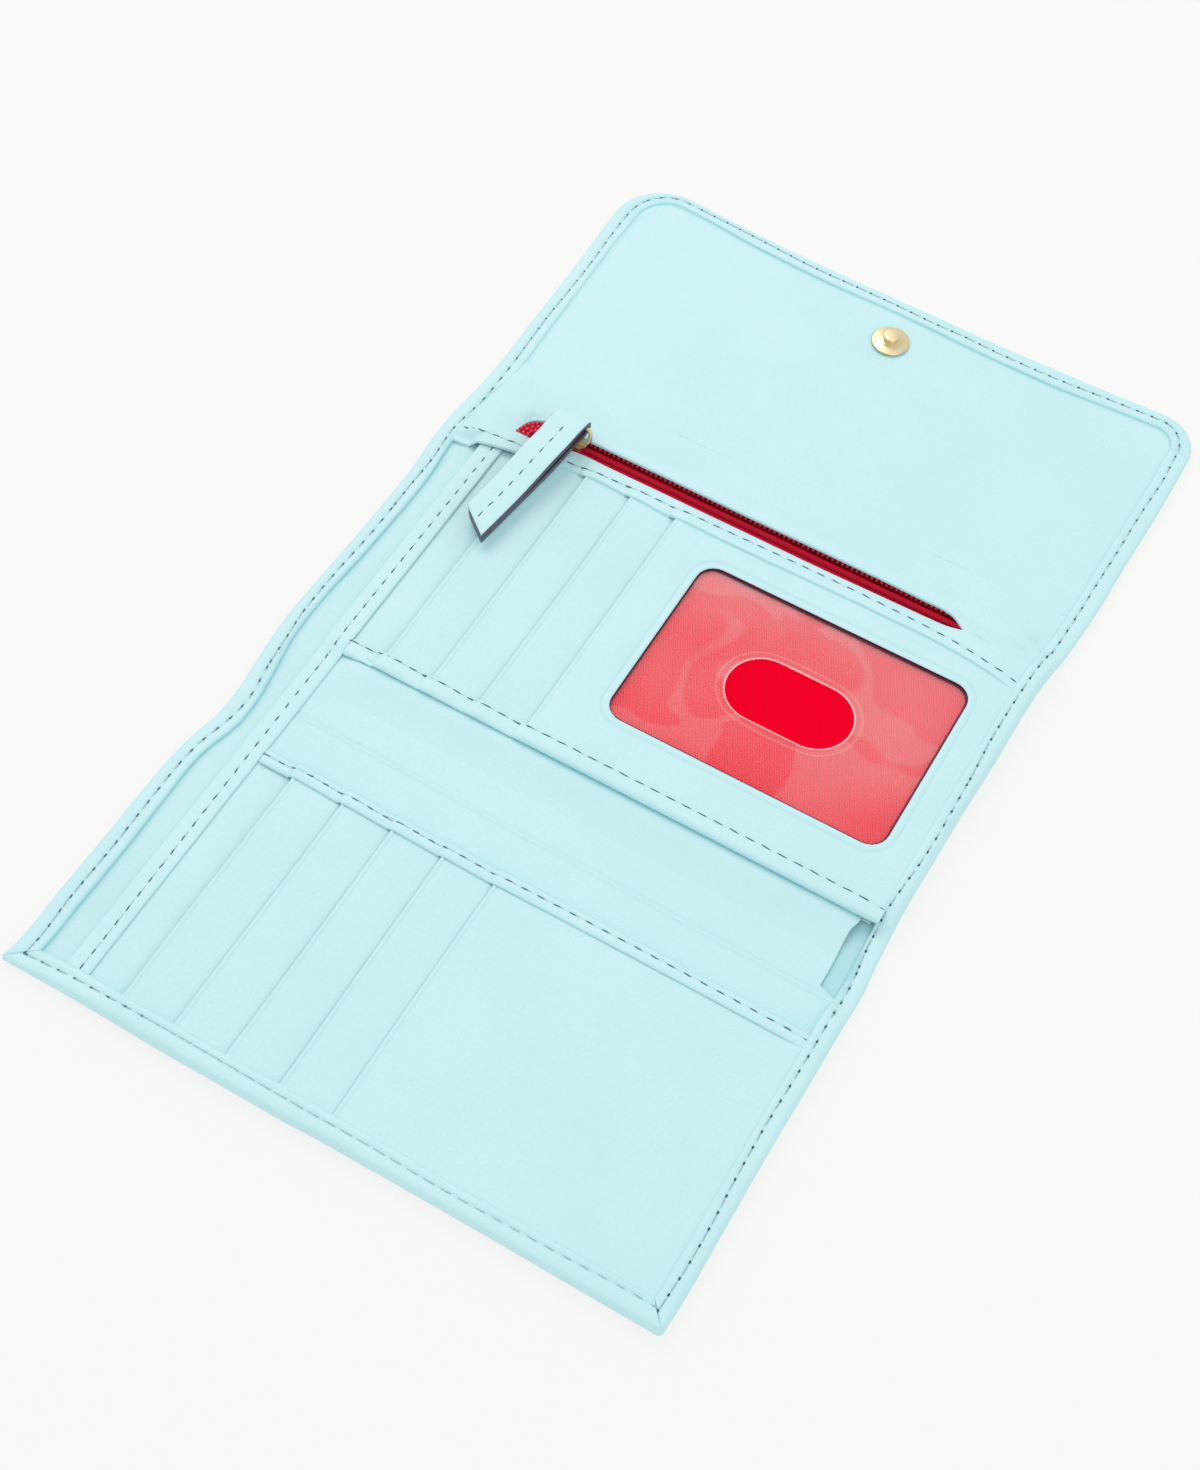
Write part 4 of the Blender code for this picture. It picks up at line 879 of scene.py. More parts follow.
def flap_path(side_inset, top_inset, step=2.6):
    """Points along the flap's edge at a distance in, each with its number round a corner."""
    halves = []
    for side in (-1, 1):
        centre_x, centre_y = flap_corner(side)
        run = [
            (float(flap_side(side, y)) - side * float(side_inset[side](y)), y, 0)
            for y in steps(Y_IN_BRIDGE, centre_y, step, [Y_FLAP_BEND], fine=0.6)[:-1]
        ]
        for number, angle in enumerate(np.radians(np.linspace(0, 90, 25))):
            share = math.sin(angle) ** 2
            inset = float(side_inset[side](centre_y)) * (1 - share) + float(top_inset(centre_x)) * share
            radius = FLAP_RADIUS[side] - inset
            run.append((
                centre_x + side * radius * math.cos(angle), centre_y + radius * math.sin(angle), number))
        run[-1] = (centre_x, float(FLAP_EDGE(centre_x)) - float(top_inset(centre_x)), 0)
        halves.append(run)
    first, second = halves
    top = steps(first[-1][0], second[-1][0], step)[1:-1]
    middle = [(x, float(FLAP_EDGE(x)) - float(top_inset(x)), 0) for x in top]
    return first + middle + second[::-1]


NO_INSET = {-1: constant(0.0), 1: constant(0.0)}


def flap_grid(tuck):
    """A grid over the flap inside its hem, which reaches some way under the hem all round.

    It gives x, y, the distance from the far edge, and the place across a width of GRID_WIDTH.
    """
    close = np.array([0.0, 0.15, 0.4, 0.8, 1.3, 2.0, 3.0, 4.4, 6.2, 8.5, 11.0, 14.0, 17.5])
    columns = np.concatenate([close, np.arange(22.0, 139.0, 4.0), GRID_WIDTH - close[::-1]]) / GRID_WIDTH
    near_top = np.array([17.0, 14.0, 11.0, 8.5, 6.0, 4.0, 2.8, 2.0, 1.4, 1.0, 0.7, 0.4, 0.0])
    start, end = Y_IN_BRIDGE, 132.0
    rows = np.concatenate([steps(start, 113.0, 2.5, [Y_FLAP_BEND], fine=0.6), end - near_top])
    rows = (rows - start) / (end - start)
    sides = {side: (lambda y, side=side: HEM_WIDTH[side](y) - tuck) for side in (-1, 1)}
    path = np.array(flap_path(sides, lambda x: FLAP_HEM(x) - tuck))
    lowest = {side: flap_corner(side)[1] for side in (-1, 1)}
    round_part = path[path[:, 1] >= min(lowest.values()) - 0.01]

    def edge_x(side, y):
        y = np.minimum(y, lowest[side])
        return flap_side(side, y) - side * sides[side](y)

    first, last = (float(edge_x(side, lowest[side])) for side in (-1, 1))
    grid_x, grid_y, from_top = [], [], []
    for column in columns:
        y_top = float(np.interp(first + (last - first) * column, round_part[:, 0], round_part[:, 1]))
        y = start + (y_top - start) * rows
        left, right = edge_x(-1, y), edge_x(1, y)
        grid_x.append(left + (right - left) * column)
        grid_y.append(y)
        from_top.append(y_top - y)
    return np.array(grid_x), np.array(grid_y), np.array(from_top), columns[:, None] * GRID_WIDTH


def flap_shell():
    """The flap: hems on three sides, gathered into fine pleats round the two corners, with painted shade in
    the pleats.
    """
    shape = Shape()
    outer = flap_path(NO_INSET, constant(0.0))
    inner = flap_path(HEM_WIDTH, FLAP_HEM)
    seam = flap_path(SEAM_INSET, FLAP_SEAM)
    rings = []
    for (x, y, number), (*inside, _), (*sewn, _) in zip(outer, inner, seam):
        # Every other ring round a corner sinks into a pleat and takes painted shade.
        pleat = 0.5 if number % 2 else 0.0
        ring = np.array(hem_ring(
            (x, y), inside, flap_hem_height(x, y), math.dist((x, y), inside), math.dist((x, y), sewn),
            0.16 * pleat, 0.45 * pleat))
        ring[:, 2] += curl(ring[:, 0], ring[:, 1])
        rings.append(ring)
    shape.loft(rings)
    x, y, _, _ = flap_grid(1.5)
    shape.slab(x, y, Z_SHELL - 0.02 + curl(x, y), 0.02 + curl(x, y))
    return bend(
        shape.piece("shell_flap", leather("mint_leather")), ("bridge", "flap"), "shell_leather", "flap_cover")


# Pockets

def sheet_rise(x, y):
    """How far the spine sheet climbs to the lip's underside."""
    from_strip = smoothstep(STRIP_END[0] + 0.5, STRIP_END[0] + 7.0, x)
    to_hem = 1.0 - 0.25 * smoothstep(73.0, 79.0, x)
    return 1.85 * smoothstep(Y_IN_SPINE, Y_LIP - 0.8, y) * from_strip * to_hem


def plain_sheet(
    name, x_from, x_to, y_from, y_to, top, thickness, seed, creases=(), lines=(), tint=1.0, fold=None,
    rise=None,
    hole=None,
):
    """A flat inner sheet, slightly uneven, with pressed lines (place at x = 0, slant) across it, painted
    shade along them, and the painted shade that fold gives.
    """
    shape = Shape()
    depth = 0.7 * sizes().crease_depth / MM

    def pressed(x, y):
        return sum((groove(y - line - slant * x, 1.0, 0.32) for line, slant in lines), 0.0 * x)

    # Painted shade along the pressed lines, and wherever fold paints it.
    def tone(x, y):
        return np.clip(0.16 * pressed(x, y) + (fold(x, y) if fold else 0.0), 0.0, 1.0)

    def height(x, y):
        return top + ripple(x, y, seed, 0.05) - depth * pressed(x, y) + (rise(x, y) if rise else 0.0)

    along = steps(y_from, y_to, 3.0, list(creases) + [line for line, _ in lines], fine=0.3)
    strip(
        shape, along, x_from, x_to, height, thickness, 0.2, 5.0, close=(0.6, 0.9, 1.4, 2.2, 3.2), fold=tone,
        hole=hole)
    return shape.piece(name, leather("mint_leather" if tint == 1.0 else "mint_lining", tint))


def painted_shade_by_left_hem(x, y):
    """Painted shade on a lining close to the left hem's edge."""
    return 0.55 * np.exp(-(np.clip(x - hem_inside(-1, y), 0.0, None) / 0.8) ** 2)


def painted_lining_shade(x, y):
    """Painted shade on the lining by the left hem and in the recess at the spine sheet's right end."""
    recess = smoothstep(Y_FRONT_CREASE - 2.0, Y_FRONT_CREASE, y)
    recess = recess * smoothstep(Y_SPINE_CREASE + 2.0, Y_SPINE_CREASE, y)
    return painted_shade_by_left_hem(x, y) + 0.40 * recess * smoothstep(60.0, 70.0, x)


def painted_shade_below_lip(x, y):
    """Painted shade on the spine sheet along the lip's underside."""
    return 0.6 * np.exp(-(np.clip(Y_LIP - 0.35 - y, 0.0, None) / 0.42) ** 2)


def slot_leaf(name, mouth, pitch, low, y_from, y_to, body, node, flat=False, tail=5.0):
    """One card slot: a folded mouth over the last leaf, a creased line, and a tapering tail."""
    shape = Shape()
    depth = sizes().crease_depth / MM
    rise = 0.0 if flat else 0.8 + 0.8 * 5.0 / pitch
    end = mouth + (tail if flat else pitch + 5.0)
    width = end - mouth
    share = np.concatenate([across(width, 1.6, 0.4), [0.7, 0.95, 1.2, 1.45, 1.7, 2.1]])
    if not flat:
        share = np.concatenate([share, pitch - np.array([2.4, 1.6, 1.1, 0.7, 0.4, 0.15, -0.1])])
    share = np.unique(np.round(share, 4))
    along = steps(y_from, y_to, 3.4)
    bow = 0.12 * np.sin(along / 17.0 + mouth)
    x = mouth + bow[:, None] * (1 - share / width)[None, :] + share[None, :]
    y = np.repeat(along[:, None], len(share), axis=1)
    slope = 0.5 + low + rise * np.clip(1 - share / (pitch + 0.3), 0, 1)
    top = slope[None, :] - groove(share - 1.25, depth, 0.28)[None, :] + ripple(x, y, mouth, 0.03)
    near = np.minimum(share, width - share)
    top = top - edge_fall(near, 0.4)[None, :]
    under = np.repeat((slope - 0.5)[None, :], len(along), axis=0)
    # Painted shade in the creased line and at the foot of the next slot's mouth.
    tone = 0.10 * groove(share - 1.25, 1.0, 0.3)
    if not flat:
        tone = tone + 0.22 * np.exp(-(np.clip(pitch - share, 0.0, None) / 0.55) ** 2)
    shape.slab(x, y, top, under, fold=tone[None, :])
    return carry(shape.piece(name, leather("mint_leather")), body, "panel_leather", node)


def strip_top(y):
    """Height of the organiser's left strip: it climbs from the front pockets to the lip."""
    return 3.12 + 0.98 * smoothstep(Y_SPINE_CREASE - 1.0, Y_LIP + 3.5, y)


def strip_seam(y):
    """Where the left strip's stitches lie."""
    return STRIP[0] + 3.3 + 0.25 * np.sin(y / 31.0)


def side_strip(name, y_from, y_to, crease, pair, *nodes):
    """The narrow strip folded over the organiser's left edge."""
    shape = Shape()

    def height(x, y):
        crown = 0.08 * np.sin(np.clip((x - STRIP[0]) / 6.1, 0, 1) * math.pi)
        return strip_top(y) + crown - groove(x - strip_seam(y), 0.12, 0.4)

    along = steps(y_from, y_to, 3.0, [crease], fine=0.6)
    strip(
        shape, along, constant(STRIP[0]), constant(STRIP_END[0]), height, 0.5, 0.35, 0.6,
        bottom=lambda x, y: np.where(x < STRIP[0] + 0.62, 1.78, strip_top(y) - 0.5),
    )
    return bend(shape.piece(name, leather("mint_leather")), pair, "panel_leather", *nodes)


def dip(x):
    """How far a band across the pockets dips to go under the right hem."""
    return 0.62 * float(smoothstep(76.0, 79.8, x))


def binding_base(x):
    return float(draped(front_top, x)) + 0.06 - dip(x)


def lip_base(x):
    return float(draped(back_top, x, 1.4)) + 0.06 - dip(x)


def ring_with_painted_shade(x, shift, profile, painted_shades):
    """A band's section at x, from (y, z) points; tones holds the depth of painted shade at some of them."""
    return [(x, y + shift, z, painted_shades.get(number, 0.0)) for number, (y, z) in enumerate(profile)]


def front_binding():
    """The bound edge across the front slots: it steps down over each slot."""
    shape = Shape()
    mouths = [X_SLOT + i * FRONT_PITCH for i in range(5)]
    low, high = Y_BINDING - 0.25, Y_BINDING_TOP
    seam = low + 2.5
    # Painted shade along both edges of the band, at the step behind it and in its stitch groove.
    painted_shades = {0: 0.5, 1: 0.2, 6: 0.25, 10: 0.4, 12: 0.3, 13: 0.6}
    rings = []
    for x in steps(STRIP_END[0] + 0.3, X_INNER + 1.4, 3.0, mouths, fine=0.35, reach=2.2):
        base = binding_base(x)
        profile = [
            (low, base + 0.05), (low + 0.03, base + 0.3), (low + 0.2, base + 0.52), (low + 0.6, base + 0.64),
            (low + 1.5, base + 0.68), (seam - 0.45, base + 0.62), (seam, base + 0.5),
            (seam + 0.45, base + 0.62), (high - 1.3, base + 0.72), (high - 0.9, base + 0.52),
            (high - 0.75, base + 0.42), (high - 0.1, base + 0.36), (high, base + 0.1), (high, 2.56),
            (high - 0.6, 2.56), (high - 0.6, base),
        ]
        rings.append(ring_with_painted_shade(x, 0.15 * math.sin(x / 23.0), profile, painted_shades))
    shape.loft(rings)
    band = shape.piece("front_binding_band", leather("mint_leather"))
    return carry(band, "front", "panel_leather", "front_binding")


def lip():
    """The rounded lip across the middle pockets' lower edge."""
    shape = Shape()
    mouths = [X_SLOT + i * BACK_PITCH for i in range(4)]
    # Painted shade under the rolled lip, in its stitch groove and at its upper edge.
    painted_shades = {0: 0.8, 1: 0.6, 2: 0.35, 3: 0.15, 11: 0.25, 15: 0.35}
    rings = []
    for x in steps(STRIP_END[0] + 0.3, X_INNER + 1.8, 3.0, mouths, fine=0.35, reach=2.2):
        base = lip_base(x)
        low, high = Y_LIP + 0.8 * dip(x), Y_LIP_TOP
        seam = high - 0.85
        foot = 2.62 + float(sheet_rise(x, low))
        tall = base + 0.95 - foot
        wave = 0.2 * math.sin(x / 27.0 + 1.0) + 0.25 * dip(x) * math.sin(x * 3.1)
        profile = [
            (low + 0.55, foot), (low - 0.05, foot + 0.04 * tall), (low - 0.42, foot + 0.2 * tall),
            (low - 0.55, foot + 0.42 * tall), (low - 0.48, foot + 0.64 * tall),
            (low - 0.2, foot + 0.84 * tall), (low + 0.3, foot + 0.96 * tall), (low + 1.0, base + 0.95),
            (low + 2.0, base + 0.86), (seam - 0.8, base + 0.74), (seam - 0.3, base + 0.6),
            (seam, base + 0.52), (seam + 0.3, base + 0.58), (high - 0.2, base + 0.48),
            (high - 0.03, base + 0.28), (high, base + 0.04), (low + 1.0, base), (low + 0.75, foot + 0.3),
        ]
        rings.append(ring_with_painted_shade(x, wave * 0.5, profile, painted_shades))
    shape.loft(rings)
    band = shape.piece("pocket_lip", leather("mint_leather"))
    return carry(band, "back", "panel_leather", "lip_binding")


# Identity window

WINDOW_LOW = np.array([-3.1, -29.35])
WINDOW_HIGH = np.array([72.6, 24.15])
WINDOW_RADIUS = 5.0


def window_rim(sides=10, turns=6):
    """Points round the window, each with its outward direction and its share round a corner."""
    low, high, radius = WINDOW_LOW, WINDOW_HIGH, WINDOW_RADIUS
    centres = [
        ((high[0] - radius, low[1] + radius), 270), ((high[0] - radius, high[1] - radius), 0),
        ((low[0] + radius, high[1] - radius), 90), ((low[0] + radius, low[1] + radius), 180),
    ]
    rim = []
    for index, (centre, start) in enumerate(centres):
        for step in range(turns + 1):
            angle = math.radians(start + 90.0 * step / turns)
            rim.append((centre, angle, step / turns, index))
        following = centres[(index + 1) % 4]
        angle = math.radians(start + 90.0)
        for step in range(1, sides):
            share = step / sides
            place = (
                centre[0] + (following[0][0] - centre[0]) * share,
                centre[1] + (following[0][1] - centre[1]) * share,
            )
            rim.append((place, angle, None, index))
    return rim


def window_panel():
    """The leather panel round the window, with a creased border and a folded left mouth."""
    shape = Shape()
    low, high = span("window_panel")
    high[0] += 1.7
    top = high[2]
    depth = sizes().crease_depth / MM
    corners = [(high[0], low[1]), (high[0], high[1]), (low[0], high[1]), (low[0], low[1])]
    offsets = [0.0, 0.06, 0.2, 0.45, 0.8, 1.4, 1.85, 2.1, 2.35, 2.8]
    insets = [6.0, 3.0, 2.1, 1.6, 1.4, 1.2, 1.0, 0.8, 0.4, 0.16, 0.05, 0.0]
    rings = []
    for centre, angle, share, index in window_rim():
        direction = np.array([math.cos(angle), math.sin(angle)])
        edge = np.array(centre) + direction * WINDOW_RADIUS
        corner = np.array(corners[index])
        if share is None:
            target = edge.copy()
            side = 0 if abs(direction[0]) > 0.5 else 1
            target[side] = (high if direction[side] > 0 else low)[side]
        else:
            first = share <= 0.5
            start_angle = math.radians((270, 0, 90, 180)[index] + (0 if first else 90))
            start_direction = np.array([math.cos(start_angle), math.sin(start_angle)])
            projected = np.array(centre) + start_direction * WINDOW_RADIUS
            side = 0 if abs(start_direction[0]) > 0.5 else 1
            projected[side] = (high if start_direction[side] > 0 else low)[side]
            weight = share * 2 if first else (1 - share) * 2
            target = projected + (corner - projected) * weight
        ring_top = []
        for offset in offsets:
            place = edge + direction * offset
            # The creased border's groove also takes painted shade.
            sink = float(edge_fall(offset, 0.45)) + float(groove(offset - 2.1, depth, 0.3))
            ring_top.append((place[0], place[1], top - sink, 0.22 * float(groove(offset - 2.1, 1.0, 0.3))))
        start = edge + direction * offsets[-1]
        reach = target - start
        length = float(np.linalg.norm(reach))
        for inset in insets:
            share_out = 1 - min(inset, length * 0.85 * inset / insets[0]) / length
            place = start + reach * share_out
            from_left = place[0] - low[0]
            sink = float(edge_fall(max(from_left, 0.0), 0.4)) + float(groove(from_left - 1.25, depth, 0.28))
            sink -= float(ripple(place[0], place[1], 4.0, 0.03))
            ring_top.append((place[0], place[1], top - sink, 0.0))
        # A thin dark plum ring inside the opening, narrower at the left, stands in for the shadow under the
        # leather's edge: painted shadow.
        tucked = edge - direction * (0.5 if direction[0] > -0.3 else 0.2)
        under = [(x, y, low[2], 0.0) for x, y, _, _ in ring_top[::-1]]
        ring_top = [(tucked[0], tucked[1], 4.62, 0.0), (edge[0], edge[1], 4.66, 0.0)] + ring_top
        rings.append(ring_top + under[:-1] + [(tucked[0], tucked[1], 4.5, 0.0)])
    size = len(rings[0])
    plum_shadow_faces = [1 if number in (0, 1, 2, size - 1) else 0 for number in range(size)]
    shape.loft(rings, closed=True, kind=plum_shadow_faces * len(rings))
    piece = shape.piece("window_frame", leather("mint_leather"), plum_edge())
    return carry(piece, "back", "panel_leather", "window_panel")


def thumb_outline(angle):
    """The thumb hole: two half circles joined by straight sides."""
    straight, radius = 7.3, 9.5
    along, up = math.cos(angle), math.sin(angle)
    if abs(up) > 1e-6 and abs(along / up) * radius <= straight:
        reach = radius / abs(up)
    else:
        reach = straight * abs(along) + math.sqrt(max(radius ** 2 - (straight * up) ** 2, 0.0))
    return reach * along, reach * up


def window_film():
    """The clear film with its raised rim round the thumb hole."""
    shape = Shape()
    middle = (WINDOW_LOW + WINDOW_HIGH) / 2
    half = (WINDOW_HIGH - WINDOW_LOW) / 2 + 5.2
    squareness = 14.0
    # Painted highlights: the film turns milkier on the rim round the thumb hole and on the ridge beside it.
    painted_highlights = {0.0: 0.30, 0.12: 0.42, 0.35: 0.30, 1.9: 0.03, 2.2: 0.14, 2.6: 0.0}
    rings = []
    for number in range(120):
        angle = math.tau * number / 120
        direction = np.array([math.cos(angle), math.sin(angle)])
        reach = (np.abs(direction / half) ** squareness).sum() ** (-1 / squareness)
        hole, out = np.array(thumb_outline(angle)), direction * reach
        gap = float(np.linalg.norm(out - hole))
        ring_top = []
        for distance in (0.0, 0.12, 0.35, 0.7, 1.1, 1.9, 2.2, 2.6, gap * 0.35, gap * 0.6, gap * 0.85, gap):
            place = middle + hole + (out - hole) * distance / gap
            lift = 0.22 * math.exp(-((distance - 0.55) / 0.4) ** 2)
            lift += 0.10 * math.exp(-((distance - 2.2) / 0.3) ** 2)
            sag = 0.10 * math.sin(math.pi * min(1.0, distance / gap)) * (1 + math.sin(3 * angle + 0.6))
            ring_top.append((place[0], place[1], Z_FILM + lift + sag, painted_highlights.get(distance, 0.0)))
        rings.append(ring_top + [(x, y, z - 0.14, 0.0) for x, y, z, _ in ring_top[::-1]])
    shape.loft(rings, closed=True)
    return carry(shape.piece("window_clear_film", film()), "back", "clear_film", "window_film")


def window_cloth():
    """The red twill behind the film."""
    shape = Shape()
    low, high = span("window_backing")
    strip(
        shape, steps(low[1], high[1], 3.0), constant(low[0]), constant(high[0]),
        lambda x, y: high[2] + ripple(x, y, 3.3, 0.05), 0.2, 0.08, 4.0)
    piece = shape.piece("window_red_cloth", twill("red_twill"))
    carry(piece, "back", "crimson_fabric", "window_backing")


# Zip

ZIP_LEFT, ZIP_RIGHT = -65.5, 62.5
MOUTH_LEFT, MOUTH_RIGHT = -66.9, 62.3
BAND_LOW = follow([
    (-79.5, 26.3), (-74.0, 27.4), (-67.5, 28.8), (-57.0, 30.8), (-46.7, 32.1), (-20.0, 32.5), (-0.6, 32.3),
    (42.0, 32.7), (61.8, 32.3), (72.0, 31.2), (79.5, 29.8),
])
BAND_SEAM = follow([
    (-79.5, 30.7), (-63.3, 32.3), (-43.5, 34.5), (-2.6, 35.7), (34.7, 36.0), (60.7, 35.0), (79.5, 32.3),
])
MOUTH_LOW = follow([
    (-66.9, 35.7), (-65.5, 35.8), (-60.8, 36.2), (-55.0, 37.4), (-49.5, 38.3), (-40.0, 38.3), (0.0, 38.3),
    (30.0, 38.35), (45.0, 38.6), (56.0, 38.85), (58.5, 38.95), (60.5, 39.2), (62.3, 39.5),
])
MOUTH_HIGH = follow([
    (-66.9, 35.7), (-66.5, 37.1), (-65.7, 39.5), (-64.1, 41.1), (-62.0, 41.8), (-59.5, 42.35), (-50.0, 42.45),
    (0.0, 42.45), (50.0, 42.4), (56.0, 42.3), (58.0, 41.9), (59.5, 41.3), (61.0, 40.4), (62.3, 39.5),
])
ABOVE_MOUTH = follow([
    (35.0, 6.15), (38.0, 6.2), (42.0, 6.36), (44.5, 6.42), (46.5, 5.75), (48.6, 4.62), (51.0, 3.45),
    (54.0, 2.62), (57.0, 2.32), (60.2, 2.2),
])


def zip_mouth(x):
    """The zip's opening between its two leather edges: they meet beyond its ends."""
    beyond_left = BAND_LOW(x) + (35.7 - 28.9) * smoothstep(-90.0, MOUTH_LEFT, x)
    low = np.where(x < MOUTH_LEFT, np.maximum(beyond_left, BAND_LOW(x) + 4.5), MOUTH_LOW(x))
    low = np.where(x > MOUTH_RIGHT, 39.5 - 0.08 * (x - MOUTH_RIGHT), low)
    high = np.where((x < MOUTH_LEFT) | (x > MOUTH_RIGHT), low, np.maximum(MOUTH_HIGH(x), low))
    return low, high


def band_base(x):
    """Height of what the zip's lower band lies on."""
    x = np.asarray(x, float)
    return np.where(x < X_SLOT, np.where(x < STRIP_END[0] + 0.2, 4.15, 3.35), back_top(x))


def surround_height(x, y):
    """Height of the leather round the zip: flat across its mouth, tucked down at both hems."""
    low, high = zip_mouth(x)
    open_share = smoothstep(MOUTH_LEFT, -61.5, x) * smoothstep(MOUTH_RIGHT, 57.5, x)
    rim = 5.05 + 0.55 * smoothstep(56.0, MOUTH_RIGHT, x) + 0.35 * smoothstep(-60.0, MOUTH_LEFT, x)
    over_pockets = np.maximum(draped(band_base, x, 2.0) + 0.7, rim)
    start = BAND_LOW(x) + 1.2
    slope = np.clip((y - start) / np.maximum(low - start, 0.5), 0, 1)
    below = over_pockets * (1 - slope) + rim * slope
    hang = smoothstep(STRIP[0] - 0.4, STRIP[0] - 2.6, x) * smoothstep(0.8, 0.0, slope)
    below = below * (1 - hang) + 2.6 * hang
    far_rim = rim + (6.3 - rim) * open_share
    climb = smoothstep(0.0, 1.0, (y - high) / np.maximum(44.0 - high, 1.5))
    above = far_rim + (ABOVE_MOUTH(y) - far_rim) * climb
    above = np.minimum(above, np.maximum(ABOVE_MOUTH(y), far_rim))
    height = np.where(y <= low + 1e-6, below, above)
    left_end = np.minimum(2.85, ABOVE_MOUTH(y))
    height = left_end + (height - left_end) * smoothstep(-81.4, -75.6, x)
    right_end = np.minimum(hem_top(1, y) - 0.35, ABOVE_MOUTH(y))
    height = right_end + (height - right_end) * smoothstep(81.2, 75.5, x)
    return height - groove(y - BAND_SEAM(x), 0.14, 0.4)


def wrinkle(x, y, at_x, at_y, size):
    """A short slanted crease at one place, as a share of its depth."""
    across_it = (x - at_x) * 0.6 + (y - at_y) * 0.8
    along_it = (x - at_x) * 0.8 - (y - at_y) * 0.6
    return np.exp(-across_it ** 2 / 0.12 - along_it ** 2 / size)


def zip_surround():
    """One sheet of leather with the zip's mouth in it: stitched band below, flap lining above."""
    shape = Shape()
    mouths = [X_SLOT + i * BACK_PITCH for i in range(4)]
    first, last, beside_hem = -80.9, 81.9, 74.0
    columns = steps(first, last, 2.4, mouths + [60.5], fine=0.5, reach=2.5)
    fine = [
        MOUTH_LEFT, -66.7, -66.5, -66.25, -66.0, -65.7, -65.2, -64.6, -64.1, -63.4, -62.7, -62.0, -61.2,
        -60.4, -59.5, MOUTH_RIGHT,
    ]
    columns = np.array(sorted(set(np.round(np.concatenate([columns, fine]), 2))))
    columns = columns[np.concatenate([[True], np.diff(columns) > 0.12])]
    low, high = zip_mouth(columns)
    below_share = across(8.0, 0.5, 0.35) / 8.0
    below = BAND_LOW(columns)[:, None] + (low - BAND_LOW(columns))[:, None] * below_share[None, :]
    distances = np.array([
        0, 0.05, 0.14, 0.25, 0.42, 0.8, 1.3, 2.0, 2.8, 3.6, 4.4, 5.1, 5.8, 6.5, 7.2, 8.0, 9.0, 10.2, 11.6,
        13.2, 15.2, 17.66,
    ])
    above = high[:, None] + (Y_IN_BRIDGE - high)[:, None] * distances[None, :] / distances[-1]
    y = np.concatenate([below, above], axis=1)
    x = np.repeat(columns[:, None], y.shape[1], axis=1)
    for side, end in ((-1, first), (1, last)):
        inner, limit = side * beside_hem, hem_inside(side, y) + side * 0.5
        x = np.where(x * side > beside_hem, inner + (x - inner) * (limit - inner) / (end - inner), x)
    height = surround_height(x, y) + ripple(x, y, 6.0, 0.05)
    gap = np.clip((high - low) / 0.8, 0.0, 1.0)[:, None]
    height -= edge_fall(y - BAND_LOW(columns)[:, None], 0.35)
    inside = np.arange(y.shape[1])[None, :] < len(below_share)
    from_mouth = np.where(inside, low[:, None] - y, y - high[:, None])
    height -= gap * edge_fall(from_mouth, 0.38)
    wrinkles = sum(wrinkle(x, y, *at) for at in ((64.6, 40.2, 1.6), (67.4, 39.6, 2.6), (78.0, 41.0, 5.0)))
    height -= 0.12 * wrinkles
    # Painted shade in the band's seam groove and in the wrinkles.
    tone = np.clip(0.12 * groove(y - BAND_SEAM(x), 1.0, 0.35) + 0.35 * wrinkles, 0.0, 1.0)
    keep = np.ones((x.shape[0] - 1, x.shape[1] - 1), bool)
    keep[:, len(below_share) - 1] = False
    shape.slab(x, y, height, height - 0.5, keep, tone)
    return bend(
        shape.piece("zip_surround", leather("mint_leather")), ("back", "bridge"), "panel_leather",
        "zip_binding", "zip_facing", "bridge_lining",
    )


def flap_lining():
    """The flap's inner leather inside the hem, with painted shade along the far hem's edge and, fainter,
    along the sides.
    """
    shape = Shape()
    x, y, from_top, from_left = flap_grid(0.4)
    height = 2.2 + ripple(x, y, 7.0, 0.10, 40.0) + curl(x, y)

    def close_to(distance, reach):
        return np.exp(-(np.clip(distance - 0.4, 0.0, None) / reach) ** 2)

    at_top = close_to(from_top, 0.75)
    at_sides = 0.35 * close_to(from_left, 0.6) + 0.15 * close_to(GRID_WIDTH - from_left, 0.5)
    # Painted shade along the hems' inner edges.
    tone = np.clip(0.75 * at_top + at_sides, 0.0, 0.8)
    shape.slab(x, y, height - 0.12 * at_top, height - 0.7, fold=tone)
    return bend(
        shape.piece("flap_inner", leather("mint_leather")), ("bridge", "flap"), "panel_leather",
        "flap_lining")


def tape_weave():
    return twill("tape_weave", 0.7, 0.74, 0.035)


def tapes():
    """The two woven tapes, and the cloth bag that hangs below them."""
    for node, name in (("zip_tape_lower", "tape_lower"), ("zip_tape_upper", "tape_upper")):
        shape = Shape()
        low, high = span(node)
        strip(
            shape, steps(low[0], high[0], 6.0), constant(low[1]), constant(high[1]), constant(high[2] + 0.05),
            0.22, 0.06, 1.0, lengthwise="x")
        carry(shape.piece(name, tape_weave()), "back", "crimson_fabric", node)
    shape = Shape()
    low, high = span("zip_pocket")
    along = steps(low[1], high[1], 4.0)
    strip(shape, along, constant(low[0]), constant(high[0]), constant(high[2]), 0.45, 0.1, 8.0)
    bag = carry(shape.piece("pocket_bag", twill("red_twill")), "back", "crimson_fabric", "zip_pocket")


# Rows of stitches and coils

BEAD_VALUES = {
    "Pitch": 0.004, "Length": 0.002, "Radius": 0.00025, "Flatness": 0.7, "Turn": 0.0, "Unevenness": 0.05,
}


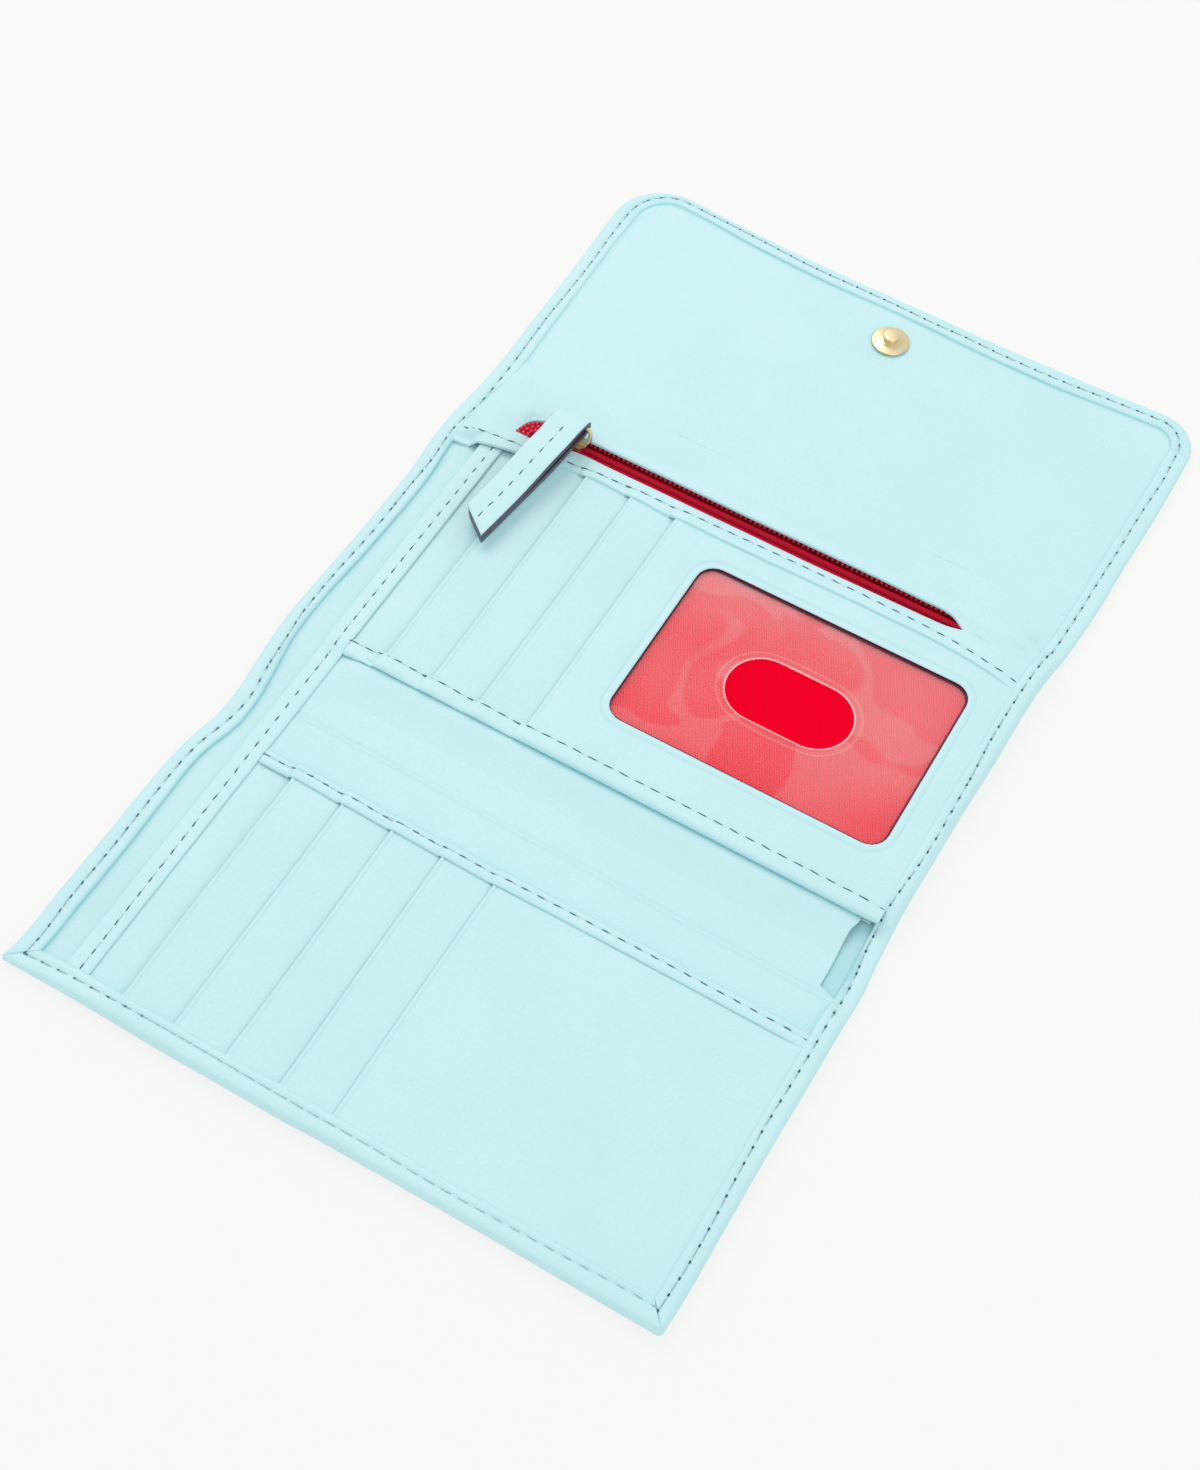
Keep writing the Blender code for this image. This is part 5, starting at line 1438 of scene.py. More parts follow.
def bead_row_tree():
    """Capsules set out along a line: stitches lie along it, a zip's coils lie across it."""
    tree = bpy.data.node_groups.get("bead_row")
    if tree:
        return tree
    tree = bpy.data.node_groups.new("bead_row", "GeometryNodeTree")
    face = tree.interface
    face.new_socket("Geometry", in_out="INPUT", socket_type="NodeSocketGeometry")
    for name, value in BEAD_VALUES.items():
        face.new_socket(name, in_out="INPUT", socket_type="NodeSocketFloat").default_value = value
    face.new_socket("Material", in_out="INPUT", socket_type="NodeSocketMaterial")
    face.new_socket("Geometry", in_out="OUTPUT", socket_type="NodeSocketGeometry")
    given = tree.nodes.new("NodeGroupInput").outputs
    curve = add_node(tree, "GeometryNodeMeshToCurve", Mesh=given["Geometry"])
    points = add_node(
        tree, "GeometryNodeCurveToPoints", [("mode", "LENGTH")], Curve=curve.outputs["Curve"],
        Length=given["Pitch"])
    bead = add_node(tree, "GeometryNodeMeshUVSphere", Segments=6, Rings=5, Radius=1.0)
    aim = add_node(
        tree, "FunctionNodeAlignRotationToVector", [("axis", "X"), ("pivot_axis", "Z")],
        Vector=points.outputs["Tangent"])
    wobble = add_node(tree, "FunctionNodeRandomValue", [("data_type", "FLOAT")], Seed=11)
    wobble.inputs[2].default_value, wobble.inputs[3].default_value = -1.0, 1.0
    swing = calculate(tree, "MULTIPLY_ADD", wobble.outputs[1], given["Unevenness"], given["Turn"])
    yaw = add_node(tree, "ShaderNodeCombineXYZ", Z=swing)
    turn = add_node(
        tree, "FunctionNodeRotateRotation", [("rotation_space", "LOCAL")], Rotation=aim.outputs["Rotation"],
        Rotate_By=yaw.outputs["Vector"])
    scale = add_node(
        tree, "ShaderNodeCombineXYZ", X=calculate(tree, "MULTIPLY", given["Length"], 0.5), Y=given["Radius"],
        Z=calculate(tree, "MULTIPLY", given["Radius"], given["Flatness"]))
    place = add_node(
        tree, "GeometryNodeInstanceOnPoints", Points=points.outputs["Points"], Instance=bead.outputs["Mesh"],
        Rotation=turn.outputs["Rotation"], Scale=scale.outputs["Vector"])
    real = add_node(tree, "GeometryNodeRealizeInstances", Geometry=place.outputs["Instances"])
    smooth = add_node(tree, "GeometryNodeSetShadeSmooth", Geometry=real.outputs["Geometry"])
    paint = add_node(
        tree, "GeometryNodeSetMaterial", Geometry=smooth.outputs["Geometry"], Material=given["Material"])
    add_node(tree, "NodeGroupOutput", Geometry=paint.outputs["Geometry"])
    return tree


def bead_rows(name, lines, surface, pitch, length, radius, flatness=0.7, turn=0.0, unevenness=0.05):
    """One mesh of beads along every line, each line a list of points in millimetres."""
    points, edges = [], []
    for line in lines:
        start = len(points)
        points.extend([tuple(float(c) * MM for c in point) for point in line])
        edges.extend([(start + i, start + i + 1) for i in range(len(line) - 1)])
    guide_mesh = bpy.data.meshes.new(name + "_line")
    guide_mesh.from_pydata(points, edges, [])
    guide = bpy.data.objects.new(name + "_line", guide_mesh)
    bpy.context.scene.collection.objects.link(guide)
    tree = bead_row_tree()
    step = guide.modifiers.new("beads", "NODES")
    step.node_group = tree
    values = dict(zip(BEAD_VALUES, (pitch, length, radius, flatness, turn, unevenness)), Material=surface)
    for item in tree.interface.items_tree:
        if item.in_out == "INPUT" and item.name in values:
            step[item.identifier] = values[item.name]
    bpy.context.view_layer.update()
    graph = bpy.context.evaluated_depsgraph_get()
    mesh = bpy.data.meshes.new_from_object(guide.evaluated_get(graph))
    mesh.name = name
    guide.modifiers.remove(step)
    bpy.data.objects.remove(guide, do_unlink=True)
    if not mesh.polygons:
        raise RuntimeError(name + " has no beads")
    piece = bpy.data.objects.new(name, mesh)
    bpy.context.scene.collection.objects.link(piece)
    return piece


def cut_line(line, y_from, y_to):
    """The part of a line between two places along Y."""
    return [point for point in line if y_from <= point[1] <= y_to]


def coil():
    """The coil's far row of turns, its near row under a woven cover, and the bunched left end."""
    near_low, near_high = span("zip_teeth_lower")
    far_low, far_high = span("zip_teeth_upper")
    upper = (far_low[1] + far_high[1]) / 2 - 0.45
    line = [(x, upper, 4.85) for x in (ZIP_LEFT + 1.0, 0.0, ZIP_RIGHT - 0.6)]
    # Painted light: the coil's colour is lifted 2.8 times so that turns lying in shade under the leather's
    # edge look lit.
    turns = bead_rows(
        "zip_coil", [line], nylon("crimson_nylon", 2.8), sizes().coil_pitch, 0.00165, 0.00060, 0.95,
        math.radians(90.0), 0.06)
    carry(turns, "back", "crimson_nylon", "zip_teeth_upper")
    shape = Shape()
    middle, half = (near_low[1] + near_high[1]) / 2, (near_high[1] - near_low[1]) / 2 + 0.05

    def rounded(_, y):
        return 4.28 + 0.62 * np.sqrt(np.clip(1 - ((y - middle) / (half + 0.05)) ** 2, 0.0, 1.0))

    strip(
        shape, steps(ZIP_LEFT + 1.0, ZIP_RIGHT - 0.4, 1.4), constant(middle - half), constant(middle + half),
        rounded, 0.3, 0.05, 0.22, lengthwise="x", bottom=constant(4.05))
    cover = shape.piece("zip_coil_cover", twill("coil_cover", 1.6, 0.50, 0.022))
    carry(cover, "back", "crimson_nylon", "zip_teeth_lower")
    bunch = []
    for share, lift in ((1.0, 0.0), (0.74, 0.22), (0.48, 0.36), (0.24, 0.42)):
        row = [
            (-60.6 + 5.6 * share * math.cos(angle), 36.4 + 5.2 * share * math.sin(angle), 5.15 + lift)
            for angle in np.radians(np.linspace(182, 88, 22))
        ]
        bunch.append([place for place in row if place[0] < -62.1])
    knots = bead_rows(
        "zip_coil_end", bunch, nylon("bright_nylon", 1.9), 0.00118, 0.0013, 0.00058, 1.0, math.radians(78.0),
        0.35)
    carry(knots, "back", "crimson_nylon", "zip_stop_left")
    rows = [
        [(ZIP_RIGHT - 1.4, y, 4.4), (ZIP_RIGHT + 0.6, y, 4.4)] for y in (middle, (middle + upper) / 2, upper)
    ]
    stop = bead_rows(
        "zip_right_stop", rows, nylon("crimson_nylon", 2.8), 0.0009, 0.0016, 0.0005, 1.0,
        math.radians(80.0), 0.3)
    return carry(stop, "back", "crimson_nylon", "zip_stop_right")


def coil_cushion():
    """The cloth that fills the bunched end of the coil."""
    shape = Shape()
    rows = np.linspace(0.0, 1.0, 12)
    x, y, top = [], [], []
    for column in np.linspace(0.0, 1.0, 15):
        place = -66.4 + 4.5 * column
        low = float(MOUTH_LOW(place)) - 0.3
        high = min(float(MOUTH_HIGH(place)) + 0.3, 41.9)
        dome = np.sin(np.pi * rows) ** 0.6 * math.sin(math.pi * min(0.5, 0.08 + column * 0.33)) ** 0.6
        x.append(np.full_like(rows, place))
        y.append(low + (high - low) * rows)
        top.append(4.45 + 0.95 * dome)
    x, y, top = np.array(x), np.array(y), np.array(top)
    shape.slab(x, y, top, np.full_like(x, 4.3))
    return carry(shape.piece("zip_coil_cushion", tape_weave()), "back", "crimson_fabric")


# Pull

PULL_SLANT = 0.130


def pull_path():
    """The pull: its middle along X, the ring bar's place, and the strap's leather as a path.

    The path runs along the middle of the leather, from under the tip, round the bar and back on top.
    It gives y and z as functions of the length so far, the whole length, and the thickness at a length.
    """
    joint = next(j for j in frame["joints"] if j["name"] == "pull_swing")
    x_mid, y_bar, z_bar = (value / MM for value in joint["pos_m"])
    layer, head = 1.85, 1.4
    arm = 0.95 + head / 2
    y_end, z_low = y_bar - 43.9, 5.78
    line = [
        (y_end, z_low + layer / 2), (y_end + 16, z_low + layer / 2 + 0.3), (y_bar - 12, z_bar - arm - 1.15),
        (y_bar - 5, z_bar - arm - 0.20),
    ]
    for angle in np.radians(np.linspace(-90, 90, 11)):
        line.append((y_bar + arm * math.cos(angle), z_bar + arm * math.sin(angle)))
    line += [
        (y_bar - 3.0, z_bar + arm - 0.02), (y_bar - 7.0, z_bar + arm - 0.75),
        (y_bar - 14, z_bar + arm - 1.35), (y_end + 16, z_low + 1.5 * layer + 0.5),
        (y_end, z_low + 1.5 * layer + 0.10),
    ]
    line = np.array(line)
    lengths = np.concatenate([[0], np.cumsum(np.linalg.norm(np.diff(line, axis=0), axis=1))])
    middle = (lengths[3] + lengths[15]) / 2
    y_of, z_of = follow(list(zip(lengths, line[:, 0]))), follow(list(zip(lengths, line[:, 1])))

    def thick(place):
        return layer - (layer - head) * float(smoothstep(11.0, 5.0, abs(place - middle)))

    return x_mid, y_bar, y_of, z_of, lengths[-1], thick


def pull_seam_line():
    """Places of the stitches down the middle of the strap's upper side."""
    x_mid, y_bar, y_of, z_of, total, thick = pull_path()
    points = []
    for place in np.linspace(total * 0.5, total, 160):
        y, z = float(y_of(place)), float(z_of(place))
        if y_bar - 38.5 < y < y_bar - 4.6:
            points.append((x_mid - (y_bar - y) * PULL_SLANT + 0.2, y, z + thick(place) / 2 - 0.05))
    return points


def pull_tab():
    """A leather strap folded round the ring's bar, with painted edges and a slanted end."""
    x_mid, y_bar, y_of, z_of, total, thick = pull_path()
    half_width, cut = 4.6, 6.6 / 9.2
    stations = np.concatenate([[0.0, 0.004, 0.012], np.linspace(0.02, 0.98, 60), [0.988, 0.996, 1.0]])

    def at(place):
        return np.array([float(y_of(place)), float(z_of(place))])

    outer, inner = [], []
    for share in stations:
        for offset in across(2 * half_width, 1.1, 0.5):
            corner = 0.9 * max(0.0, 1 - offset / 1.4) ** 2
            start = (2 * half_width - offset) * cut + corner
            place = start + (total - 2 * start) * share
            run = at(min(place + 0.2, total)) - at(max(place - 0.2, 0))
            run /= np.linalg.norm(run)
            normal = np.array([run[1], -run[0]])
            near = min(offset, 2 * half_width - offset)
            fall = float(edge_fall(near, 0.5)) * 0.55
            fall += float(edge_fall(min(share, 1 - share) * total, 0.4)) * 0.5
            middle, half = at(place), 0.5 * thick(place)
            x = x_mid - half_width + offset - max(y_bar - middle[0], 0.0) * PULL_SLANT
            outer.append((x, *(middle + normal * (half - fall))))
            inner.append((x, *(middle - normal * half)))
    shape = Shape()
    size = (len(stations), -1, 3)
    shape.sandwich(np.array(outer).reshape(size), np.array(inner).reshape(size), hidden_kind=1)
    piece = shape.piece("zip_pull_tab", leather("mint_leather"), edge_paint())
    return carry(piece, "pull", "edge_painted_leather", "pull_tab")


# Snap

def lathe(name, profile, body, node, count=64):
    """A round plated piece about its node's upright axis, from (radius, height) points.

    A profile that starts and ends on the axis gets flat ends there; any other is a closed ring.
    """
    shape = Shape()
    low, high = span(node)
    x, y, _ = (low + high) / 2
    turns = [math.tau * number / count for number in range(count)]
    rings = [
        [(x + r * math.cos(turn), y + r * math.sin(turn), z) for turn in turns]
        for r, z in profile if r > 1e-6
    ]
    shape.loft(rings, closed=len(rings) == len(profile))
    return carry(shape.piece(name, plated("pale_gold"), angle=30.0), body, "pale_gold", node)


def snap():
    """Stud with its rolled flange, the cap outside the flap, and the socket in the front panel."""
    flange, top = span("snap_stud")[0][2], span("snap_stud")[1][2]
    lathe("stud", [
        (0.0, top), (1.4, top), (2.05, top - 0.06), (2.3, top - 0.28), (2.38, top - 0.7), (2.3, top - 1.1),
        (2.1, top - 1.4), (2.08, flange + 1.1), (2.35, flange + 0.95), (2.9, flange + 0.9),
        (3.0, flange + 0.72), (3.4, flange + 0.6), (4.6, flange + 0.58), (5.05, flange + 0.5),
        (5.28, flange + 0.3), (5.15, flange + 0.06), (4.9, flange), (0.0, flange),
    ], "flap", "snap_stud")
    low, top = span("snap_cap")[0][2], span("snap_cap")[1][2]
    lathe("cap", [
        (0.0, top), (1.2, top), (1.25, low + 0.6), (5.3, low + 0.6), (5.7, low + 0.45), (5.78, low + 0.28),
        (5.6, low + 0.12), (5.0, low + 0.02), (4.4, low), (0.0, low),
    ], "flap", "snap_cap")
    top = span("snap_socket")[1][2]
    lathe("socket", [
        (4.5, top), (4.95, top - 0.2), (4.98, 0.0), (4.88, -0.08), (4.5, -0.12), (3.4, -0.12), (3.1, -0.06),
        (2.88, 0.12), (2.82, top - 0.3), (3.0, top),
    ], "front", "snap_socket")


# Stage

CAMERA_PLACE = Vector((0.13518, -0.31511, 0.48033))
CAMERA_AIM = Vector((-0.2383, 0.4924, -0.8371)).normalized()
CAMERA_ROLL = math.radians(4.87)
CAMERA_LENS = 57.36


def add_camera():
    level = CAMERA_AIM.cross(Vector((0, 0, 1))).normalized()
    raised = level.cross(CAMERA_AIM)
    right = level * math.cos(CAMERA_ROLL) + raised * math.sin(CAMERA_ROLL)
    up = right.cross(CAMERA_AIM)
    camera = bpy.data.objects.new("camera", bpy.data.cameras.new("camera"))
    camera.data.lens = CAMERA_LENS
    camera.data.sensor_width = 36.0
    camera.data.clip_start = 0.01
    camera.matrix_world = Matrix((
        (right[0], up[0], -CAMERA_AIM[0], CAMERA_PLACE[0]),
        (right[1], up[1], -CAMERA_AIM[1], CAMERA_PLACE[1]),
        (right[2], up[2], -CAMERA_AIM[2], CAMERA_PLACE[2]),
        (0.0, 0.0, 0.0, 1.0),
    ))
    bpy.context.scene.collection.objects.link(camera)
    bpy.context.scene.camera = camera


def add_lamp(name, place, size, power, colour, aim=(0.0, 0.0, 0.0)):
    lamp = bpy.data.lights.new(name, "AREA")
    lamp.color = colour
    lamp.shape = "DISK"
    lamp.size = size
    lamp.energy = power
    holder = bpy.data.objects.new(name, lamp)
    holder.location = place
    holder.rotation_euler = (Vector(aim) - Vector(place)).to_track_quat("-Z", "Y").to_euler()
    bpy.context.scene.collection.objects.link(holder)


def pale_material(name, direct):
    """Pale card that shows its own light to the camera and still takes a shadow."""
    made, tree, blend = new_material(name, "ShaderNodeMixShader")
    colour = (*colours().floor, 1.0)
    card = add_node(tree, "ShaderNodeBsdfDiffuse", Color=colour)
    glow = add_node(tree, "ShaderNodeEmission", Color=colour)
    add_bump(tree, card, noise(tree, object_place(tree), 400.0), 0.05)
    ray = tree.nodes.new("ShaderNodeLightPath").outputs
    seen = calculate(tree, "MAXIMUM", ray["Is Camera Ray"], ray["Is Glossy Ray"])
    seen = calculate(tree, "MAXIMUM", seen, ray["Is Transmission Ray"])
    parts = (calculate(tree, "MULTIPLY", seen, direct), card.outputs[0], glow.outputs[0])
    for socket, value in zip(blend.inputs, parts):
        plug(socket, value)
    return made


def add_stage():
    shape = Shape()
    x, y = np.meshgrid([-2500.0, 2500.0], [-2500.0, 2500.0], indexing="ij")
    shape.slab(x, y, np.full_like(x, Z_FLOOR), np.full_like(x, -4.0))
    shape.piece("floor", pale_material("floor_card", 0.8))
    scene = bpy.context.scene
    world = bpy.data.worlds.new("studio")
    world.use_nodes = True
    set_inputs(world.node_tree.nodes["Background"], Color=(0.875, 0.98, 1.0, 1.0), Strength=0.80)
    scene.world = world
    add_lamp("key_softbox", (-0.75, 0.75, 1.25), 0.9, 7.0, (1.0, 0.80, 0.76))
    add_lamp("fill_softbox", (0.9, -0.5, 1.3), 1.2, 2.6, (1.0, 0.80, 0.77))
    scene.view_settings.view_transform = "Standard"
    add_camera()


# Seams

def side_line(side, y_from, y_to, under=False):
    """Places of a hem's stitches along one side, on its upper or its under side."""
    points = []
    for y in steps(y_from, y_to, 2.0, [Y_FRONT_CREASE, Y_SPINE_CREASE, Y_FLAP_CREASE, Y_FLAP_BEND], fine=0.7):
        z = Z_UNDER_THREAD if under else side_hem_height(side, y) - THREAD_SINK
        points.append((float(side_edge(side, y)) - side * float(SEAM_INSET[side](y)), float(y), z))
    return points


def perimeter(under):
    """The hem's seam all round: lines with their pair of bodies, stitch length in mm and thread."""
    edge = Y_FRONT_EDGE
    sides = {side: side_line(side, edge + 3.6, Y_IN_BRIDGE, under) for side in (-1, 1)}
    front = []
    for x in np.arange(sides[-1][0][0] + 0.6, sides[1][0][0], 1.6):
        height = Z_UNDER_THREAD if under else front_hem_height(x) - THREAD_SINK
        front.append((x, edge + float(FRONT_SEAM(x)), height))
    flap = []
    for x, y, _ in flap_path(SEAM_INSET, FLAP_SEAM):
        height = Z_UNDER_THREAD if under else flap_hem_height(x, y) - THREAD_SINK
        flap.append((x, y, height + float(curl(x, y))))
    corner = next(number for number, point in enumerate(flap) if point[0] > -66.0)
    parts = [
        (("front", "spine"), [point for point in front if point[0] < -50.0], 1.0, "dark"),
        (("front", "spine"), [point for point in front if point[0] >= -51.0], 1.6, "faint"),
        (("bridge", "flap"), flap[:corner + 1], 0.8, "dark"),
        (("bridge", "flap"), flap[corner:], 0.8, "black"),
    ]
    limits = (
        (("front", "spine"), -999, Y_IN_SPINE), (("spine", "back"), Y_IN_SPINE, Y_IN_BACK),
        (("back", "bridge"), Y_IN_BACK, Y_IN_BRIDGE),
    )
    for pair, low, high in limits:
        parts.append((pair, cut_line(sides[-1], low, high), 1.4, "dark"))
        parts.append((pair, cut_line(sides[1], low, high), 1.0, "black"))
    rows = {}
    for pair, line, length, tone in parts:
        rows.setdefault((pair, length, tone), []).append(line)
    return rows


def strip_rows():
    """The seam down the organiser's left strip."""
    rows = {}
    for pair, low, high in ((("front", "spine"), -150.0, Y_IN_SPINE), (("spine", "back"), Y_IN_SPINE, 28.0)):
        places = steps(low, high, 2.0, [Y_SPINE_CREASE], fine=0.7)
        rows[pair] = [[(float(strip_seam(y)), y, float(strip_top(y)) - THREAD_SINK) for y in places]]
    return rows


def shift_line(line, distance):
    """The line, started further along."""
    points = np.array(line)
    lengths = np.concatenate([[0], np.cumsum(np.linalg.norm(np.diff(points, axis=0), axis=1))])
    places = np.concatenate([[distance], lengths[lengths > distance]])
    return np.stack([np.interp(places, lengths, points[:, i]) for i in range(3)], axis=1).tolist()


def sew(name, rows, length, tone="dark"):
    """Stitches along the rows, with finer, paler thread between them; length is in metres."""
    size, shades = sizes(), colours()
    pitch, radius = size.stitch_pitch, size.thread_radius
    faint = tone == "faint"
    between = "faint" if faint else "pale"
    threads = {
        key: thread(key + "_thread", getattr(shades, "thread_" + key)) for key in (tone, between)
    }
    thickness = {"dark": 1.0, "black": 1.1, "faint": 0.8}[tone]
    stitches = bead_rows(name, rows, threads[tone], pitch, length, radius * thickness, 0.75, 0.0, 0.12)
    shifted = [shift_line(row, pitch / 2 / MM) for row in rows]
    gaps = bead_rows(
        name + "_between", shifted, threads[between], pitch, pitch - length * 0.9,
        radius * (0.45 if faint else 0.6), 0.6)
    return stitches, gaps


def all_seams():
    """Every seam of the wallet: seams on one body ride on it, seams across a crease stay where they are made.
    """
    length = sizes().stitch_length
    for label, under in (("inside", False), ("outside", True)):
        for (pair, stitch, tone), rows in perimeter(under).items():
            for piece in sew("hem_seam_%s_%s_%s_%s" % (label, *pair, tone), rows, stitch * MM, tone):
                bend(piece, pair, "shell_leather")
    for pair, rows in strip_rows().items():
        for piece in sew("strip_seam_%s_%s" % pair, rows, length):
            bend(piece, pair, "panel_leather")
    across_pockets = steps(STRIP_END[0] + 1.0, X_INNER + 0.3, 1.2)

    def on_surround(x):
        y = BAND_SEAM(x)
        return float(x), float(y), float(surround_height(np.array(x), y) + ripple(x, y, 6.0, 0.05)) + 0.04

    lines = (
        ("binding_seam", "front", 1.15, [
            (x, Y_BINDING + 2.25 + 0.15 * math.sin(x / 23.0), binding_base(x) + 0.5) for x in across_pockets
        ]),
        ("lip_seam", "back", 1.45, [
            (x, Y_LIP_TOP - 0.85 + 0.1 * math.sin(x / 27.0 + 1.0), lip_base(x) + 0.52) for x in across_pockets
        ]),
        ("zip_band_seam", "back", 1.2, [on_surround(x) for x in steps(-78.6, X_INNER + 0.2, 1.2)]),
        ("pull_seam", "pull", 1.3, pull_seam_line()),
    )
    for name, body, share, line in lines:
        for piece in sew(name, [line], length * share):
            carry(piece, body, "edge_painted_leather" if body == "pull" else "panel_leather")


# Operators, one for each piece or group of like pieces

def linings():
    """The linings, and the sheets that the front pockets are sewn to."""
    start = Y_FRONT_EDGE + FRONT_HEM - TUCK

    def left(y):
        return hem_inside(-1, y) - TUCK

    def right(y):
        return hem_inside(1, y) + TUCK

    def sheet_right(y):
        recess = 4.8 * smoothstep(Y_FRONT_CREASE - 0.8, Y_FRONT_CREASE + 1.2, y)
        return right(y) - recess * (1.0 - 0.2 * smoothstep(Y_SPINE_CREASE - 3.0, Y_SPINE_CREASE + 1.5, y))

    front = plain_sheet(
        "front_lining_sheet", left, right, start, Y_IN_SPINE, Z_LINING, 0.3, 1.0, [Y_FRONT_CREASE], tint=0.97,
        fold=painted_lining_shade, hole=socket_hole())
    bend(front, ("front", "spine"), "lining_leather", "front_lining", "spine_lining")
    back = plain_sheet(
        "back_lining_sheet", left, right, Y_IN_SPINE, Y_FLAP_CREASE - 0.15, Z_LINING, 0.3, 1.0,
        [Y_SPINE_CREASE], tint=0.97, fold=painted_lining_shade)
    bend(back, ("spine", "back"), "lining_leather", "back_lining")
    sheet_left = constant(STRIP[0] + 0.9)
    pressed_lines = ((-68.9, -0.011), (-67.5, -0.011))
    base = plain_sheet(
        "front_base_sheet", sheet_left, sheet_right, start, Y_IN_SPINE, Z_SHEET, 0.45, 2.0, [Y_FRONT_CREASE],
        pressed_lines)
    bend(base, ("front", "spine"), "panel_leather", "front_base", "spine_sheet")
    tail = plain_sheet(
        "spine_tail_sheet", sheet_left, sheet_right, Y_IN_SPINE, Y_LIP + 0.95, Z_SHEET, 0.45, 2.0,
        [Y_SPINE_CREASE], fold=painted_shade_below_lip, rise=sheet_rise)
    bend(tail, ("spine", "back"), "panel_leather", "spine_sheet_tail")


def middle_base():
    """The sheet under the middle pockets, with the slot that opens into the zip's bag."""
    shape = Shape()
    low, high = span("middle_base")
    slot_low, slot_high = 38.7, 45.0
    y = np.unique(np.concatenate([steps(Y_LIP, slot_low, 6.0), [slot_low, slot_high, high[1]]]))
    x = np.unique(np.concatenate([
        steps(low[0], ZIP_LEFT, 6.0), steps(ZIP_LEFT, ZIP_RIGHT, 8.0), steps(ZIP_RIGHT, high[0], 6.0),
    ]))
    x, y = np.meshgrid(x, y, indexing="ij")
    middle_x, middle_y = (x[:-1, :-1] + x[1:, 1:]) / 2, (y[:-1, :-1] + y[1:, 1:]) / 2
    slot = (middle_x > ZIP_LEFT) & (middle_x < ZIP_RIGHT) & (middle_y > slot_low) & (middle_y < slot_high)
    shape.slab(x, y, np.full_like(x, 3.3), np.full_like(x, 2.8), ~slot)
    carry(shape.piece("middle_base_sheet", leather("mint_leather")), "back", "panel_leather", "middle_base")


def slots():
    """The card slots of both organisers, and the wide pocket panel beside the front ones."""
    low, high = Y_FRONT_EDGE + FRONT_HEM - TUCK, Y_BINDING_TOP - 0.9
    for index in range(4):
        node, mouth = "front_slot_%d" % (index + 1), X_SLOT + index * FRONT_PITCH
        slot_leaf(node + "_leaf", mouth, FRONT_PITCH, Z_FRONT_SLOTS, low, high, "front", node)
    slot_leaf(
        "front_pocket_leaf", X_FRONT_POCKET, FRONT_PITCH, 3.6, low, high, "front", "front_pocket_panel",
        flat=True, tail=X_INNER + 1.5 - X_FRONT_POCKET)
    low, high = span("middle_slot_1")[0][1], span("middle_slot_1")[1][1]
    for index in range(3):
        node, mouth = "middle_slot_%d" % (index + 1), X_SLOT + index * BACK_PITCH
        slot_leaf(node + "_leaf", mouth, BACK_PITCH, Z_BACK_SLOTS, low, high, "back", node)


def plate_slider():
    """Plates the slider and the ring, whose own shapes are kept."""
    for node in ("slider_body", "pull_ring"):
        metal = frame["nodes"][node]
        metal.data.materials.clear()
        metal.data.materials.append(plated("pale_gold"))


class WALLET_OT_shell(bpy.types.Operator):
    """Make the leather shell in parts that meet at its creases"""
    bl_idname = "wallet.shell"
    bl_label = "Shell"
    bl_options = {"REGISTER", "UNDO"}

    def execute(self, context):
        front_shell()
        straight_shell(
            "shell_lower_back", Y_IN_SPINE, Y_IN_BACK, Y_SPINE_CREASE, ("spine", "back"), "back_cover")
        straight_shell(
            "shell_upper_back", Y_IN_BACK, Y_IN_BRIDGE, Y_FLAP_CREASE, ("back", "bridge"), "bridge_cover")
        flap_shell()
        return {"FINISHED"}


class WALLET_OT_linings(bpy.types.Operator):
    """Make the linings and the sheets that the pockets are sewn to"""
    bl_idname = "wallet.linings"
    bl_label = "Linings and base sheets"
    bl_options = {"REGISTER", "UNDO"}

    def execute(self, context):
        linings()
        middle_base()
        return {"FINISHED"}


class WALLET_OT_strips(bpy.types.Operator):
    """Make the strip along the organiser's left edge"""
    bl_idname = "wallet.strips"
    bl_label = "Side strip"
    bl_options = {"REGISTER", "UNDO"}

    def execute(self, context):
        side_strip(
            "strip_front", Y_FRONT_EDGE + FRONT_HEM - TUCK, Y_IN_SPINE, Y_FRONT_CREASE, ("front", "spine"),
            "front_side_binding", "spine_side_binding")
        side_strip(
            "strip_back", Y_IN_SPINE, Y_ZIP_BINDING - 0.3, Y_SPINE_CREASE, ("spine", "back"),
            "middle_side_binding")
        return {"FINISHED"}


class WALLET_OT_slots(bpy.types.Operator):
    """Make the card slots, the wide pocket panel and the bindings across them"""
    bl_idname = "wallet.slots"
    bl_label = "Card slots and bindings"
    bl_options = {"REGISTER", "UNDO"}

    def execute(self, context):
        slots()
        front_binding()
        lip()
        return {"FINISHED"}


class WALLET_OT_window(bpy.types.Operator):
    """Make the identity window with its cloth, film and thumb hole"""
    bl_idname = "wallet.window"
    bl_label = "Identity window"
    bl_options = {"REGISTER", "UNDO"}

    def execute(self, context):
        window_cloth()
        window_film()
        window_panel()
        return {"FINISHED"}


class WALLET_OT_zip(bpy.types.Operator):
    """Make the zip pocket: tapes, coil, bag and the leather on both sides"""
    bl_idname = "wallet.zip"
    bl_label = "Zip pocket"
    bl_options = {"REGISTER", "UNDO"}

    def execute(self, context):
        tapes()
        coil()
        coil_cushion()
        zip_surround()
        return {"FINISHED"}


class WALLET_OT_pull(bpy.types.Operator):
    """Make the leather pull and plate its ring and slider"""
    bl_idname = "wallet.pull"
    bl_label = "Slider and pull"
    bl_options = {"REGISTER", "UNDO"}

    def execute(self, context):
        pull_tab()
        plate_slider()
        return {"FINISHED"}


